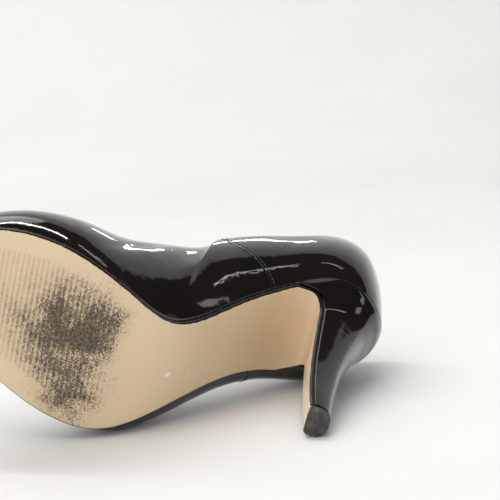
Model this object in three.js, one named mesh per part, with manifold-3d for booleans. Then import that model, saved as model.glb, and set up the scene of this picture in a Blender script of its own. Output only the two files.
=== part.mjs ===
// A right-foot high-heeled court shoe (pump), as an assembly of its separate pieces.
// Millimetres, +Z up. The toe points towards -Y, the medial (inner) side is +X.
// The shape is drawn in a working frame whose y runs back from the toe tip, and the
// finished shoe is moved so that its box stands on the origin.

import * as THREE from "three";
import { mergeVertices } from "three/addons/utils/BufferGeometryUtils.js";
import Module from "manifold-3d";

const wasm = await Module();
wasm.setup();

// ---------- driving dimensions ----------

const GAP = 0.3; // clearance between touching pieces

// Sole: y from the toe tip, height of the bottom face, half width, shift to the medial side.
const SOLE_STATIONS = [
  { y: 0, z: 5, half: 0, shift: 8.5 },
  { y: 10, z: 3.5, half: 16, shift: 8 },
  { y: 28, z: 1, half: 27.5, shift: 7 },
  { y: 48, z: 0, half: 35, shift: 6.5 },
  { y: 68, z: 0, half: 40, shift: 2 },
  { y: 86, z: 0, half: 40, shift: -2.5 },
  { y: 105, z: 4, half: 34, shift: -7.5 },
  { y: 125, z: 19, half: 22, shift: -10 },
  { y: 145, z: 49.5, half: 20, shift: -6.5 },
  { y: 165, z: 73, half: 23, shift: -5.5 },
  { y: 182, z: 84, half: 26, shift: -5.5 },
  { y: 197, z: 88.5, half: 20.5, shift: -5.5 },
  { y: 209, z: 92, half: 0, shift: -5.5 },
];
const SOLE_LENGTH = 209;
const TREAD_FRONT = 48; // the flat tread under the ball runs between these two
const TREAD_BACK = 86;
const TOE_ROUNDNESS = 37; // half width per unit of edge angle at the two ends
const HEEL_ROUNDNESS = 46;

// Landmarks along the edge, counted in steps from the toe tip (0) to the heel back.
const EDGE_STEPS = 40;
const PUFF_STEP = 9; // rear edge of the toe puff
const THROAT_STEP = 15; // front of the foot opening
const FILLER_STEP = 18; // rear edge of the bottom filler
const SEAM_STEP = 27; // foot of the side seams between vamp and quarters
const SEAM_LEAN = 0.075; // edge angle by which the seams' tops lie ahead of their feet
const SEAM_LEAN_REACH = 0.2; // edge angle over which the wall's grid leans with them
const BREAST_STEP = 28; // where the sole turns down the front of the heel
const GRIP_STEP = 34; // front edges of the heel grip
const TAPE_STEP = 19; // front ends of the topline tape
const COUNTER_STEP = 28; // front edges of the heel counter

// Heel below the breast corner: flap face centre, flap half width, and the heel's back.
const HEEL_ROWS = [
  { y: 172.5, z: 77.4, half: 21, backY: 207.3, backZ: 90 },
  { y: 176.2, z: 77, half: 18.3, backY: 205.5, backZ: 86 },
  { y: 178, z: 73.5, half: 16, backY: 203.3, backZ: 80.5 },
  { y: 178.8, z: 68, half: 14.3, backY: 200.7, backZ: 72 },
  { y: 180.5, z: 52, half: 10.9, backY: 197.8, backZ: 54 },
  { y: 182.6, z: 35, half: 8, backY: 196.7, backZ: 35.5 },
  { y: 185.6, z: 17, half: 6.4, backY: 197.2, backZ: 17 },
  { y: 188.2, z: 6, half: 5.4, backY: 198, backZ: 6 },
];
const HEEL_SHIFT = -5.5; // the heel's own axis, in x
const HEEL_SQUARENESS = 2.4; // exponent of the heel's D-shaped section
const SEAT_SLOPE = 0.45; // how steeply the heel seat climbs towards the back
const BLOCK_CLEARANCE = 0.9; // between the heel block and its covering
const COVER_LIP = 0.6; // the covered heel stands this far outside the flap's edge

// Thicknesses
const OUTSOLE_THICK = 2.8;
const FLAP_THICK = 2;
const UPPER_THICK = 1.1;
const STIFFENER_THICK = 0.7;
const LINING_THICK = 0.8;
const GRIP_THICK = 0.7;
const COVER_THICK = 0.9;
const SHANK_THICK = 1.1;
const BOARD_THICK = 2;
const CUSHION_THICK = 1.5;
const SOCK_THICK = 0.8;
const TOP_PIECE_THICK = 5.7;
const BOARD_INSET = 4.2; // from the sole edge to the edge of the insole board
const LASTING_MARGIN = 8; // how far the upper is turned in under the insole board

// The ridge of the last, from the toe back over the instep: x, y, z.
const RIDGE = [
  { x: 8, y: 16, z: 28 },
  { x: 7, y: 30, z: 36 },
  { x: 5, y: 50, z: 46 },
  { x: 2.5, y: 70, z: 58 },
  { x: 3, y: 100, z: 82 },
  { x: 3, y: 130, z: 114 },
  { x: -2, y: 158, z: 146 },
  { x: -5.5, y: 182, z: 166 },
];

// Edge of the foot opening seen from the side, behind the throat: y, z.
const TOPLINE = [
  { y: 75, z: 51 },
  { y: 83, z: 49 },
  { y: 92, z: 54 },
  { y: 105, z: 69 },
  { y: 125, z: 90 },
  { y: 150, z: 110 },
  { y: 180, z: 130 },
  { y: 214, z: 146 },
];
const THROAT_DROP = -2.4; // slope of the opening's edge where it leaves the ridge

// Fasteners and the parts inside the heel
const TUBE_RADIUS = 2.6;
const TUBE_BORE = 1.7;
const TUBE_BOTTOM = { y: 193, z: 8 };
const TUBE_TOP = { y: 190, z: 58 };
const PIN_RADIUS = 1.4;
const PIN_LENGTH = 16;
const PIN_SIDES = 12;
const PIN_BURIED = 3; // part of the pin that sits in the top piece
const NAIL = { head: 1.9, headThick: 0.9, shaft: 0.8, length: 12 };
const SCREW = { head: 3.4, headThick: 0.9, shaft: 1.9, length: 19 };
const RIVET = { head: 2.6, headThick: 0.9, shaft: 1.4, length: 2.3 };
const SHANK_HALF = 6;
const SHANK_FRONT = 97;
const SHANK_BACK = 196;

const COLOURS = {
  patent: { color: 0x0b0b0d, roughness: 0.08, metalness: 0 },
  sole: { color: 0xdcc39c, roughness: 0.55, metalness: 0 },
  lining: { color: 0xcdb592, roughness: 0.7, metalness: 0 },
  board: { color: 0xa98f6d, roughness: 0.9, metalness: 0 },
  foam: { color: 0xe6e0d2, roughness: 0.95, metalness: 0 },
  stiffener: { color: 0xd8d4ca, roughness: 0.8, metalness: 0 },
  rubber: { color: 0x2b2b2c, roughness: 0.8, metalness: 0 },
  plastic: { color: 0xb9b4a8, roughness: 0.5, metalness: 0 },
  steel: { color: 0x9ea2a6, roughness: 0.35, metalness: 1 },
};

// Levels above the sole's bottom face, up through the bottom stack
const LEVEL_SOLE_TOP = OUTSOLE_THICK;
const LEVEL_MARGIN = LEVEL_SOLE_TOP + GAP;
const LEVEL_BOARD = LEVEL_MARGIN + SHANK_THICK + GAP;
const LEVEL_BOARD_TOP = LEVEL_BOARD + BOARD_THICK;
const LEVEL_CUSHION = LEVEL_BOARD_TOP + GAP;
const LEVEL_SOCK = LEVEL_CUSHION + CUSHION_THICK + GAP;

// Depths below the outer face of the upper, in through the wall
const DEPTH_STIFFENER = UPPER_THICK + GAP;
const DEPTH_LINING = DEPTH_STIFFENER + STIFFENER_THICK + GAP;
const DEPTH_GRIP = DEPTH_LINING + LINING_THICK + GAP;

// ---------- curves ----------

// A cubic spline through the points (xs, ys). A missing end slope leaves that end free.
function spline(xs, ys, startSlope, endSlope) {
  const last = xs.length - 1;
  const diagonal = [];
  const right = [];
  const steps = xs.slice(1).map((x, i) => x - xs[i]);
  const slopes = steps.map((h, i) => (ys[i + 1] - ys[i]) / h);
  const upper = [...steps];
  const lower = [...steps];
  for (let i = 0; i <= last; i++) {
    if (i > 0 && i < last) {
      diagonal[i] = 2 * (steps[i - 1] + steps[i]);
      right[i] = 6 * (slopes[i] - slopes[i - 1]);
    } else {
      const slope = i === 0 ? startSlope : endSlope;
      const free = slope === undefined;
      const step = i === 0 ? steps[0] : steps[last - 1];
      diagonal[i] = free ? 1 : 2 * step;
      if (i === 0) {
        upper[0] = free ? 0 : step;
        right[0] = free ? 0 : 6 * (slopes[0] - slope);
      } else {
        lower[last - 1] = free ? 0 : step;
        right[last] = free ? 0 : 6 * (slope - slopes[last - 1]);
      }
    }
  }
  for (let i = 1; i <= last; i++) {
    const share = lower[i - 1] / diagonal[i - 1];
    diagonal[i] -= share * upper[i - 1];
    right[i] -= share * right[i - 1];
  }
  const bend = new Array(last + 1);
  bend[last] = right[last] / diagonal[last];
  for (let i = last - 1; i >= 0; i--) {
    bend[i] = (right[i] - upper[i] * bend[i + 1]) / diagonal[i];
  }
  return (x) => {
    let i = 0;
    while (i < last - 1 && x > xs[i + 1]) i++;
    const h = steps[i];
    const a = xs[i + 1] - x;
    const b = x - xs[i];
    const curved = (bend[i] * a ** 3 + bend[i + 1] * b ** 3) / (6 * h);
    const start = ys[i] / h - (bend[i] * h) / 6;
    const end = ys[i + 1] / h - (bend[i + 1] * h) / 6;
    return curved + start * a + end * b;
  };
}

const lerp = THREE.MathUtils.lerp;
const clamp = THREE.MathUtils.clamp;
const range = (count) => Array.from({ length: count }, (_, i) => i);
const column = (rows, key) => rows.map((row) => row[key]);
const point = (x, y, z) => new THREE.Vector3(x, y, z);

// ---------- the sole's bottom face ----------

// The edge angle t runs from 0 at the toe tip to 1 at the heel back.
const edgeY = (t) => (SOLE_LENGTH * (1 - Math.cos(Math.PI * t))) / 2;
const edgeT = (y) => Math.acos(1 - (2 * clamp(y, 0, SOLE_LENGTH)) / SOLE_LENGTH) / Math.PI;
const stepT = (step) => step / EDGE_STEPS;
const THROAT_T = stepT(THROAT_STEP);
const SEAM_T = stepT(SEAM_STEP);
const BREAST_T = stepT(BREAST_STEP);
const BREAST_Y = edgeY(BREAST_T);

// The shared edge angles from one step to another. Every layer uses them, so that the
// facets of neighbouring layers run parallel.
const edgeAngles = (from, to) => range(to - from + 1).map((i) => stepT(from + i));

const stationY = column(SOLE_STATIONS, "y");
const heightSpline = spline(stationY, column(SOLE_STATIONS, "z"));
const shiftAt = spline(stationY, column(SOLE_STATIONS, "shift"));
const inner = SOLE_STATIONS.slice(1, -1);
const roundness = spline(
  [0, ...inner.map((s) => edgeT(s.y)), 1],
  [
    TOE_ROUNDNESS,
    ...inner.map((s) => s.half / Math.sin(Math.PI * edgeT(s.y))),
    HEEL_ROUNDNESS,
  ],
  0,
  0,
);
const halfAt = (t) => Math.sin(Math.PI * t) * roundness(t);

function soleHeight(y) {
  const flat = y >= TREAD_FRONT && y <= TREAD_BACK;
  return flat ? 0 : Math.max(0, heightSpline(y));
}

// Unit normal of the sole's bottom face, pointing up into the shoe.
function soleNormal(y) {
  const reach = 0.5;
  const rise = heightSpline(y + reach) - heightSpline(y - reach);
  return point(0, -rise, 2 * reach).normalize();
}

// A point straight above the bottom face at plan position (x, y), at a level of the stack.
function onLevel(x, y, level) {
  return point(x, y, soleHeight(y)).addScaledVector(soleNormal(y), level);
}

// Plan outline. The signed angle s is positive on the medial side, negative on the lateral.
function outline(s) {
  const t = Math.abs(s);
  const y = edgeY(t);
  return point(shiftAt(y) + Math.sign(s) * halfAt(t), y, 0);
}

// Outward plan normal of the outline.
function outward(s) {
  if (Math.abs(s) < 1e-6) return point(0, -1, 0);
  if (Math.abs(s) > 1 - 1e-6) return point(0, 1, 0);
  const reach = 2e-3;
  const t = clamp(Math.abs(s), reach, 1 - reach) * Math.sign(s);
  const along = outline(t + reach).sub(outline(t - reach));
  return point(along.y, -along.x, 0).normalize();
}

// A point of the bottom stack: across runs from -1 (lateral edge) to 1 (medial edge).
function stackPoint(t, across, inset, level) {
  const medial = outline(t).addScaledVector(outward(t), -inset);
  const lateral = outline(-t).addScaledVector(outward(-t), -inset);
  const at = lateral.lerp(medial, (across + 1) / 2);
  return onLevel(at.x, at.y, level);
}

// ---------- the last: the outer face of the upper ----------

const ridgeHeight = spline(column(RIDGE, "y"), column(RIDGE, "z"));
const RIDGE_FRONT = RIDGE[0].y;
const RIDGE_BACK = RIDGE.at(-1).y;
const ridgeY = (y) => lerp(RIDGE_FRONT, RIDGE_BACK, y / SOLE_LENGTH);
const ridgeShift = spline(column(RIDGE, "y"), column(RIDGE, "x"));
const THROAT_Y = ridgeY(edgeY(THROAT_T));
const toplineHeight = spline(
  [THROAT_Y, ...column(TOPLINE, "y")],
  [ridgeHeight(THROAT_Y), ...column(TOPLINE, "z")],
  THROAT_DROP,
);

// How the wall leaves the sole edge and arrives at the ridge, along the shoe.
const PROFILE_T = [0, 0.2, 0.4, 0.5, 0.6, 0.7, 0.85, 1];
const medialLean = spline(PROFILE_T, [0.3, 0.3, 0.45, 0.45, 1.3, 1.3, 0.3, 0.05]);
const medialHandle = spline(PROFILE_T, [0.6, 0.55, 0.45, 0.45, 0.45, 0.42, 0.5, 0.55]);
const lateralLean = spline(PROFILE_T, [0.3, 0.35, 0.35, 1, 2.4, 2.7, 0.6, 0.05]);
const lateralHandle = spline(PROFILE_T, [0.6, 0.55, 0.5, 0.38, 0.32, 0.34, 0.45, 0.55]);
const ridgeHandle = spline(PROFILE_T, [0.55, 0.6, 0.65, 0.7, 0.7, 0.6, 0.5, 0.45]);

// Fullness of the medial wall at the height of the foot opening, and overhang of the
// lateral wall's foot past the sole edge. Both are in mm.
const FULLNESS_T = [0, 0.3, 0.4, 0.45, 0.5, 0.55, 0.6, 0.7, 0.85, 1];
const medialFullness = spline(FULLNESS_T, [0, 0, -3, -7, 4, 14, 15, 7, 0, 0]);
const lateralOverhang = spline(FULLNESS_T, [0, 0, 0.3, 0.8, 2, 3.2, 5.2, 5, 0.8, 0]);

// The edge of the upper's underside, which overhangs the sole a little at the waist.
function featherPoint(s) {
  const overhang = s < 0 ? lateralOverhang(-s) : 0;
  const at = outline(s).addScaledVector(outward(s), overhang);
  return onLevel(at.x, at.y, LEVEL_MARGIN);
}

// The four control points of the wall's profile at the signed edge angle s.
function profile(s) {
  const t = Math.abs(s);
  const y = edgeY(t);
  const start = featherPoint(s);
  const topY = ridgeY(y);
  const end = point(ridgeShift(topY), topY, ridgeHeight(topY));
  const reach = 0.5;
  const slope = (ridgeHeight(topY + reach) - ridgeHeight(topY - reach)) / (2 * reach);
  const rise = end.clone().sub(start);
  const up = soleNormal(y).lerp(point(0, 0, 1), 0.5).normalize();
  const lean = s < 0 ? lateralLean(t) : medialLean(t);
  const leave = up.addScaledVector(outward(s), lean).normalize();
  const back = point(-rise.x, -rise.y, -rise.y * slope);
  const handle = s < 0 ? lateralHandle(t) : medialHandle(t);
  const second = start.clone().addScaledVector(leave, handle * rise.z);
  const third = end.clone().addScaledVector(back, ridgeHandle(t));
  if (s > 0) third.addScaledVector(outward(s), medialFullness(t));
  return [start, second, third, end];
}

function onProfile([a, b, c, d], v) {
  const w = 1 - v;
  return a
    .clone()
    .multiplyScalar(w ** 3)
    .addScaledVector(b, 3 * w * w * v)
    .addScaledVector(c, 3 * w * v * v)
    .addScaledVector(d, v ** 3);
}

// The first share v of the profile where test(point) turns true, or 1.
function firstCrossing(curve, test) {
  const steps = 60;
  const halvings = 20;
  const found = range(steps).find((i) => test(onProfile(curve, (i + 1) / steps)));
  if (found === undefined) return 1;
  let low = found / steps;
  let high = (found + 1) / steps;
  for (let i = 0; i < halvings; i++) {
    const middle = (low + high) / 2;
    if (test(onProfile(curve, middle))) high = middle;
    else low = middle;
  }
  return high;
}

// Share of the profile at which the wall meets the foot opening.
function toplineShare(s) {
  if (Math.abs(s) <= THROAT_T + 1e-9) return 1;
  return firstCrossing(profile(s), (p) => p.z > toplineHeight(p.y));
}

// Share of the profile at which the wall stands at a level of the bottom stack.
function levelShare(s, level) {
  const curve = profile(s);
  const normal = soleNormal(edgeY(Math.abs(s)));
  const lift = level - LEVEL_MARGIN;
  return firstCrossing(curve, (p) => p.clone().sub(curve[0]).dot(normal) > lift);
}

// Outward normal of the last's surface. Near the ridge, where the profiles of both sides
// meet in one line, it is taken a little below.
function wallNormal(s, share) {
  const ridgeStop = 0.985;
  const reach = 4e-3;
  const v = Math.min(share, ridgeStop);
  const middle = clamp(s, -1 + reach, 1 - reach);
  const along = onProfile(profile(middle + reach), v).sub(onProfile(profile(middle - reach), v));
  const curve = profile(middle);
  const upward = onProfile(curve, v + reach).sub(onProfile(curve, Math.max(0, v - reach)));
  return along.cross(upward).normalize();
}

// ---------- solids ----------

// Builds a closed body from a grid of places. place(i, j) gives [outer point, inner point].
// Grid points that coincide are welded, and every open edge gets a wall.
function sheetSolid(rows, columns, place) {
  const ids = new Map();
  const outer = [];
  const innerSide = [];
  const key = (p) => [p.x, p.y, p.z].map((c) => Math.round(c * 1e3)).join();
  const grid = range(rows).map((i) =>
    range(columns).map((j) => {
      const [a, b] = place(i, j);
      if (!ids.has(key(a))) {
        ids.set(key(a), outer.length);
        outer.push(a);
        innerSide.push(b);
      }
      return ids.get(key(a));
    }),
  );
  const faces = [];
  const addFace = (a, b, c) => {
    if (a !== b && b !== c && c !== a) faces.push([a, b, c]);
  };
  for (let i = 0; i + 1 < rows; i++) {
    for (let j = 0; j + 1 < columns; j++) {
      addFace(grid[i][j], grid[i + 1][j], grid[i + 1][j + 1]);
      addFace(grid[i][j], grid[i + 1][j + 1], grid[i][j + 1]);
    }
  }
  const edges = new Map();
  for (const face of faces) {
    face.forEach((a, k) => edges.set(`${a},${face[(k + 1) % 3]}`, [a, face[(k + 1) % 3]]));
  }
  const shift = outer.length;
  const all = [...faces, ...faces.map(([a, b, c]) => [a + shift, c + shift, b + shift])];
  for (const [a, b] of edges.values()) {
    if (edges.has(`${b},${a}`)) continue;
    all.push([b, a, a + shift], [b, a + shift, b + shift]);
  }
  return closedGeometry([...outer, ...innerSide], all);
}

// A body lofted through rings of equally many points. Each ring starts and ends at the
// two corners of a straight side, and the end caps join it rung by rung.
function ringSolid(rings) {
  const count = rings[0].length;
  const faces = [];
  for (let i = 0; i + 1 < rings.length; i++) {
    for (let j = 0; j < count; j++) {
      const a = i * count + j;
      const b = i * count + ((j + 1) % count);
      faces.push([a, b, b + count], [a, b + count, a + count]);
    }
  }
  const last = (rings.length - 1) * count;
  const addCap = (first, flip) => {
    for (let j = 0; 2 * j < count - 1; j++) {
      const rung = [first + j, first + count - 1 - j];
      const next = [first + j + 1, first + count - 2 - j];
      const pair = [
        [rung[0], rung[1], next[0]],
        [rung[1], next[1], next[0]],
      ];
      for (const face of pair) {
        if (new Set(face).size === 3) faces.push(flip ? face.reverse() : face);
      }
    }
  };
  addCap(0, false);
  addCap(last, true);
  return closedGeometry(rings.flat(), faces);
}

// A geometry from points and triangles, turned so that its faces point out.
function closedGeometry(points, faces) {
  const volume = faces.reduce(
    (sum, [a, b, c]) => sum + points[a].dot(points[b].clone().cross(points[c])),
    0,
  );
  const turned = volume < 0 ? faces.map(([a, b, c]) => [a, c, b]) : faces;
  const geometry = new THREE.BufferGeometry().setFromPoints(points);
  geometry.setIndex(turned.flat());
  return geometry;
}

// A geometry as a manifold solid, ready for a boolean.
function solidOf(geometry) {
  const bare = geometry.clone();
  bare.deleteAttribute("normal");
  bare.deleteAttribute("uv");
  const merged = mergeVertices(bare, 1e-3);
  return new wasm.Manifold(
    new wasm.Mesh({
      numProp: 3,
      vertProperties: merged.attributes.position.array,
      triVerts: new Uint32Array(merged.index.array),
    }),
  );
}

function geometryOf(solid) {
  const mesh = solid.getMesh();
  const geometry = new THREE.BufferGeometry();
  geometry.setAttribute("position", new THREE.BufferAttribute(mesh.vertProperties, 3));
  geometry.setIndex(new THREE.BufferAttribute(mesh.triVerts, 1));
  return geometry;
}

const cut = (geometry, tools) =>
  geometryOf(tools.reduce((rest, tool) => rest.subtract(solidOf(tool)), solidOf(geometry)));

// ---------- assembly helpers ----------

const shoe = new THREE.Group();

function addPiece(name, geometry, finish) {
  const mesh = new THREE.Mesh(geometry, new THREE.MeshStandardMaterial(COLOURS[finish]));
  mesh.name = name;
  shoe.add(mesh);
}

// ---------- outsole with its heel breast flap ----------

// The rows of the heel, the first of them at the breast corner itself.
const heelRows = [
  {
    y: BREAST_Y,
    z: soleHeight(BREAST_Y),
    half: halfAt(BREAST_T),
    backY: onLevel(0, SOLE_LENGTH, LEVEL_SOLE_TOP).y,
    backZ: onLevel(0, SOLE_LENGTH, LEVEL_SOLE_TOP).z,
  },
  ...HEEL_ROWS,
];
const rowShare = heelRows.map((_, i) => i / (heelRows.length - 1));
const cornerSpeed = 50; // length of path per unit of share where the corner begins
const cornerNormal = soleNormal(BREAST_Y);
const startSlopes = { y: cornerSpeed * cornerNormal.z, z: -cornerSpeed * cornerNormal.y };
const heelCurve = Object.fromEntries(
  ["y", "z", "half", "backY", "backZ"].map((key) => [
    key,
    spline(rowShare, column(heelRows, key), startSlopes[key]),
  ]),
);

// Unit normal of the flap's outer face in the y-z plane, pointing into the heel.
function flapNormal(p) {
  const reach = 1e-3;
  const dy = heelCurve.y(p + reach) - heelCurve.y(p - reach);
  const dz = heelCurve.z(p + reach) - heelCurve.z(p - reach);
  return point(0, -dz, dy).normalize();
}

const flapThickness = (p) => lerp(OUTSOLE_THICK, FLAP_THICK, clamp(3 * p, 0, 1));

// Shares of the heel rows, closer together round the corner at the breast.
const HEEL_STEPS = 15;
const HEEL_CROWDING = 1.4;
const heelShares = range(HEEL_STEPS).map((i) => (i / (HEEL_STEPS - 1)) ** HEEL_CROWDING);

function makeOutsole() {
  const columns = 5;
  return sheetSolid(BREAST_STEP + HEEL_STEPS, columns, (i, j) => {
    const across = lerp(-1, 1, j / (columns - 1));
    if (i < BREAST_STEP) {
      return [
        stackPoint(stepT(i), across, 0, 0),
        stackPoint(stepT(i), across, 0, LEVEL_SOLE_TOP),
      ];
    }
    const p = heelShares[i - BREAST_STEP];
    const x = HEEL_SHIFT + across * heelCurve.half(p);
    const bottom = point(x, heelCurve.y(p), heelCurve.z(p));
    return [bottom, bottom.clone().addScaledVector(flapNormal(p), flapThickness(p))];
  });
}

// ---------- heel: block, cover, tube, top piece ----------

const HEEL_START = 0.04; // the heel starts this share past the corner of the sole
const SEAT_BLEND = 0.55; // share of the heel over which the seat's outline fades out

// Centre of the heel's front edge, just behind the flap, and its back, at share p.
function heelFront(p) {
  const clear = lerp(HEEL_START, 1, p);
  const at = point(HEEL_SHIFT, heelCurve.y(clear), heelCurve.z(clear));
  return at.addScaledVector(flapNormal(clear), flapThickness(clear) + GAP);
}
const heelBack = (p) => point(HEEL_SHIFT, heelCurve.backY(p), heelCurve.backZ(p));

// Shape of the seat outline behind the breast: half width and depth as shares of the
// seat's front half width and length, and how far it stands above the straight line
// from the breast to the heel back.
function seatShape(turn, inset) {
  const t = lerp(BREAST_T, 1, turn);
  const [front, back] = [heelFront(0), heelBack(0)];
  const at = onLevel(0, edgeY(t), LEVEL_SOLE_TOP - SEAT_SLOPE * inset);
  const depth = Math.max(0, (at.y - front.y) / (back.y - front.y));
  const rise = turn === 0 ? 0 : at.z - lerp(front.z, back.z, depth);
  return { half: halfAt(t) / halfAt(BREAST_T), depth, rise };
}

// A point of the heel's outer face. turn runs from 0 (front edge) to 1 (back centre);
// side is 1 on the medial and -1 on the lateral half.
function heelPoint(p, turn, side, inset) {
  const angle = (turn * Math.PI) / 2;
  const power = 2 / HEEL_SQUARENESS;
  const seat = seatShape(turn, inset);
  const seatWeight = 1 - THREE.MathUtils.smoothstep(p, 0, SEAT_BLEND);
  const half = lerp(Math.cos(angle) ** power, seat.half, seatWeight);
  const depth = lerp(Math.sin(angle) ** power, seat.depth, seatWeight);
  const back = heelBack(p);
  back.y -= inset;
  const at = heelFront(p).lerp(back, depth);
  const lip = COVER_LIP * (1 - seatWeight);
  at.x += side * half * (heelCurve.half(p) + lip - inset);
  at.z += seat.rise * seatWeight;
  return at;
}

const HEEL_TURNS = 10;

// One closed D-shaped ring of the heel at share p, from the medial to the lateral front.
function heelRing(p, inset) {
  const steps = range(HEEL_TURNS);
  const medial = steps.map((j) => heelPoint(p, j / (HEEL_TURNS - 1), 1, inset));
  const lateral = steps.map((j) => heelPoint(p, j / (HEEL_TURNS - 1), -1, inset));
  return [...medial, ...lateral.reverse().slice(1)];
}

function makeHeelBlock() {
  return ringSolid(heelShares.map((p) => heelRing(p, COVER_THICK + BLOCK_CLEARANCE)));
}

function makeHeelCover() {
  const rings = heelShares.map((p) => [heelRing(p, 0), heelRing(p, COVER_THICK)]);
  return sheetSolid(HEEL_STEPS, 2 * HEEL_TURNS - 1, (i, j) => [rings[i][0][j], rings[i][1][j]]);
}

// Outline of the top piece: a straight front edge with rounded corners and a round back.
function topPieceShape() {
  const half = 6;
  const front = 188.4;
  const corner = 2;
  const shape = new THREE.Shape();
  shape.moveTo(-half + corner, front);
  shape.lineTo(half - corner, front);
  shape.quadraticCurveTo(half, front, half, front + corner);
  shape.lineTo(half, front + half - corner);
  shape.absarc(0, front + half - corner, half, 0, Math.PI, false);
  shape.lineTo(-half, front + corner);
  shape.quadraticCurveTo(-half, front, -half + corner, front);
  return shape;
}

// A round bar from one point to another.
function bar(from, to, radius, sides = 16) {
  const length = from.distanceTo(to);
  const geometry = new THREE.CylinderGeometry(radius, radius, length, sides);
  const turn = new THREE.Quaternion().setFromUnitVectors(
    point(0, 1, 0),
    to.clone().sub(from).normalize(),
  );
  geometry.applyQuaternion(turn);
  const middle = from.clone().lerp(to, 0.5);
  return geometry.translate(middle.x, middle.y, middle.z);
}

const tubeBottom = point(HEEL_SHIFT, TUBE_BOTTOM.y, TUBE_BOTTOM.z);
const tubeTop = point(HEEL_SHIFT, TUBE_TOP.y, TUBE_TOP.z);
const tubeAxis = tubeTop.clone().sub(tubeBottom).normalize();
const alongTube = (distance) => tubeBottom.clone().addScaledVector(tubeAxis, distance);
const PIN_START = -(TUBE_BOTTOM.z - TOP_PIECE_THICK) - PIN_BURIED;

// ---------- fasteners driven down through the insole board ----------

const HEAD_SUNK = 0.1; // the heads lie this far below the board's top face
const HOLE_RISE = 3; // a hole's countersink is cut this far past the head
const FASTENER_SIDES = 14;

// A headed fastener as a lathe, or the hole for it when it is grown by a clearance.
function fastenerAt({ x, y }, kind, clearance = 0) {
  const bottom = -kind.length - clearance;
  const top = kind.headThick + (clearance > 0 ? HOLE_RISE : 0);
  const profilePoints = [
    new THREE.Vector2(0, bottom),
    new THREE.Vector2(kind.shaft + clearance, bottom),
    new THREE.Vector2(kind.shaft + clearance, -clearance),
    new THREE.Vector2(kind.head + clearance, -clearance),
    new THREE.Vector2(kind.head + clearance, top),
    new THREE.Vector2(0, top),
  ];
  const geometry = new THREE.LatheGeometry(profilePoints, FASTENER_SIDES);
  const normal = soleNormal(y);
  geometry.applyQuaternion(
    new THREE.Quaternion().setFromUnitVectors(point(0, 1, 0), normal),
  );
  const seat = onLevel(x, y, LEVEL_BOARD_TOP - HEAD_SUNK - kind.headThick);
  return geometry.translate(seat.x, seat.y, seat.z);
}

const FASTENERS = [
  { name: "heel_screw", kind: SCREW, at: { x: HEEL_SHIFT, y: 187 }, intoHeel: true },
  { name: "heel_nail_1", kind: NAIL, at: { x: HEEL_SHIFT + 11, y: 182 }, intoHeel: true },
  { name: "heel_nail_2", kind: NAIL, at: { x: HEEL_SHIFT - 11, y: 182 }, intoHeel: true },
  { name: "heel_nail_3", kind: NAIL, at: { x: HEEL_SHIFT + 8, y: 192 }, intoHeel: true },
  { name: "heel_nail_4", kind: NAIL, at: { x: HEEL_SHIFT - 8, y: 192 }, intoHeel: true },
  { name: "shank_rivet_front", kind: RIVET, at: { x: shiftAt(106), y: 106 }, intoHeel: false },
  { name: "shank_rivet_rear", kind: RIVET, at: { x: shiftAt(160), y: 160 }, intoHeel: false },
];

const holesFor = (fasteners) => fasteners.map((f) => fastenerAt(f.at, f.kind, GAP));
const heelFasteners = FASTENERS.filter((f) => f.intoHeel);
const shankFasteners = FASTENERS.filter((f) => f.kind !== NAIL);

// ---------- bottom stack ----------

// A slab of the bottom stack from the toe tip back to a step of the edge.
function stackSlab({ to = EDGE_STEPS, inset, level, thick }) {
  const columns = 3;
  return sheetSolid(to + 1, columns, (i, j) => {
    const across = lerp(-1, 1, j / (columns - 1));
    return [
      stackPoint(stepT(i), across, inset, level),
      stackPoint(stepT(i), across, inset, level + thick),
    ];
  });
}

function makeShank() {
  const rows = 22;
  const columns = 5;
  const rib = 0.5; // the middle of the strip is raised by a stiffening rib at its waist
  const endWidth = 0.55; // the strip narrows to this share of its width at both ends
  const endSpread = 3;
  return sheetSolid(rows, columns, (i, j) => {
    const share = i / (rows - 1);
    const y = lerp(SHANK_FRONT, SHANK_BACK, share);
    const across = lerp(-1, 1, j / (columns - 1));
    const ends = Math.min(1, endWidth + endSpread * Math.min(share, 1 - share));
    const x = shiftAt(y) + across * SHANK_HALF * ends;
    const waist = Math.sin(Math.PI * share) ** 2;
    const dip = rib * waist * (1 - Math.abs(across));
    return [
      onLevel(x, y, LEVEL_MARGIN),
      onLevel(x, y, LEVEL_MARGIN + SHANK_THICK - rib * waist + dip),
    ];
  });
}

// ---------- upper and everything inside its wall ----------

// Heights on the wall are counted from 0 at the upper's foot to 1 at the topline. Every
// layer uses the same heights, so that the facets of neighbouring layers run parallel.
const WALL_COLUMNS = 7;
const WALL_CROWDING = 1.2; // the columns lie closer together at the foot of the wall
const columnHeight = (j) => (j / WALL_COLUMNS) ** WALL_CROWDING;

// A place on the wall and the wall's outward normal there. The side seams lean forward as
// they rise, and the grid of the whole wall leans with them, less and less to either side.
function wallPoint(s, height) {
  const distance = Math.abs(Math.abs(s) - SEAM_T);
  const near = 1 - THREE.MathUtils.smoothstep(distance, 0, SEAM_LEAN_REACH);
  const leaned = s - Math.sign(s) * SEAM_LEAN * near * height;
  const v = toplineShare(leaned) * height;
  return { at: onProfile(profile(leaned), v), normal: wallNormal(leaned, v) };
}

// A layer of the wall over a list of edge angles, between two heights on the wall.
function wallLayer({ spans, depth, thick, low, high }) {
  return sheetSolid(spans.length, WALL_COLUMNS + 1, (i, j) => {
    const s = spans[i];
    const { at, normal } = wallPoint(s, clamp(columnHeight(j), low(s), high(s)));
    return [
      at.clone().addScaledVector(normal, -depth),
      at.clone().addScaledVector(normal, -depth - thick),
    ];
  });
}

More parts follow.
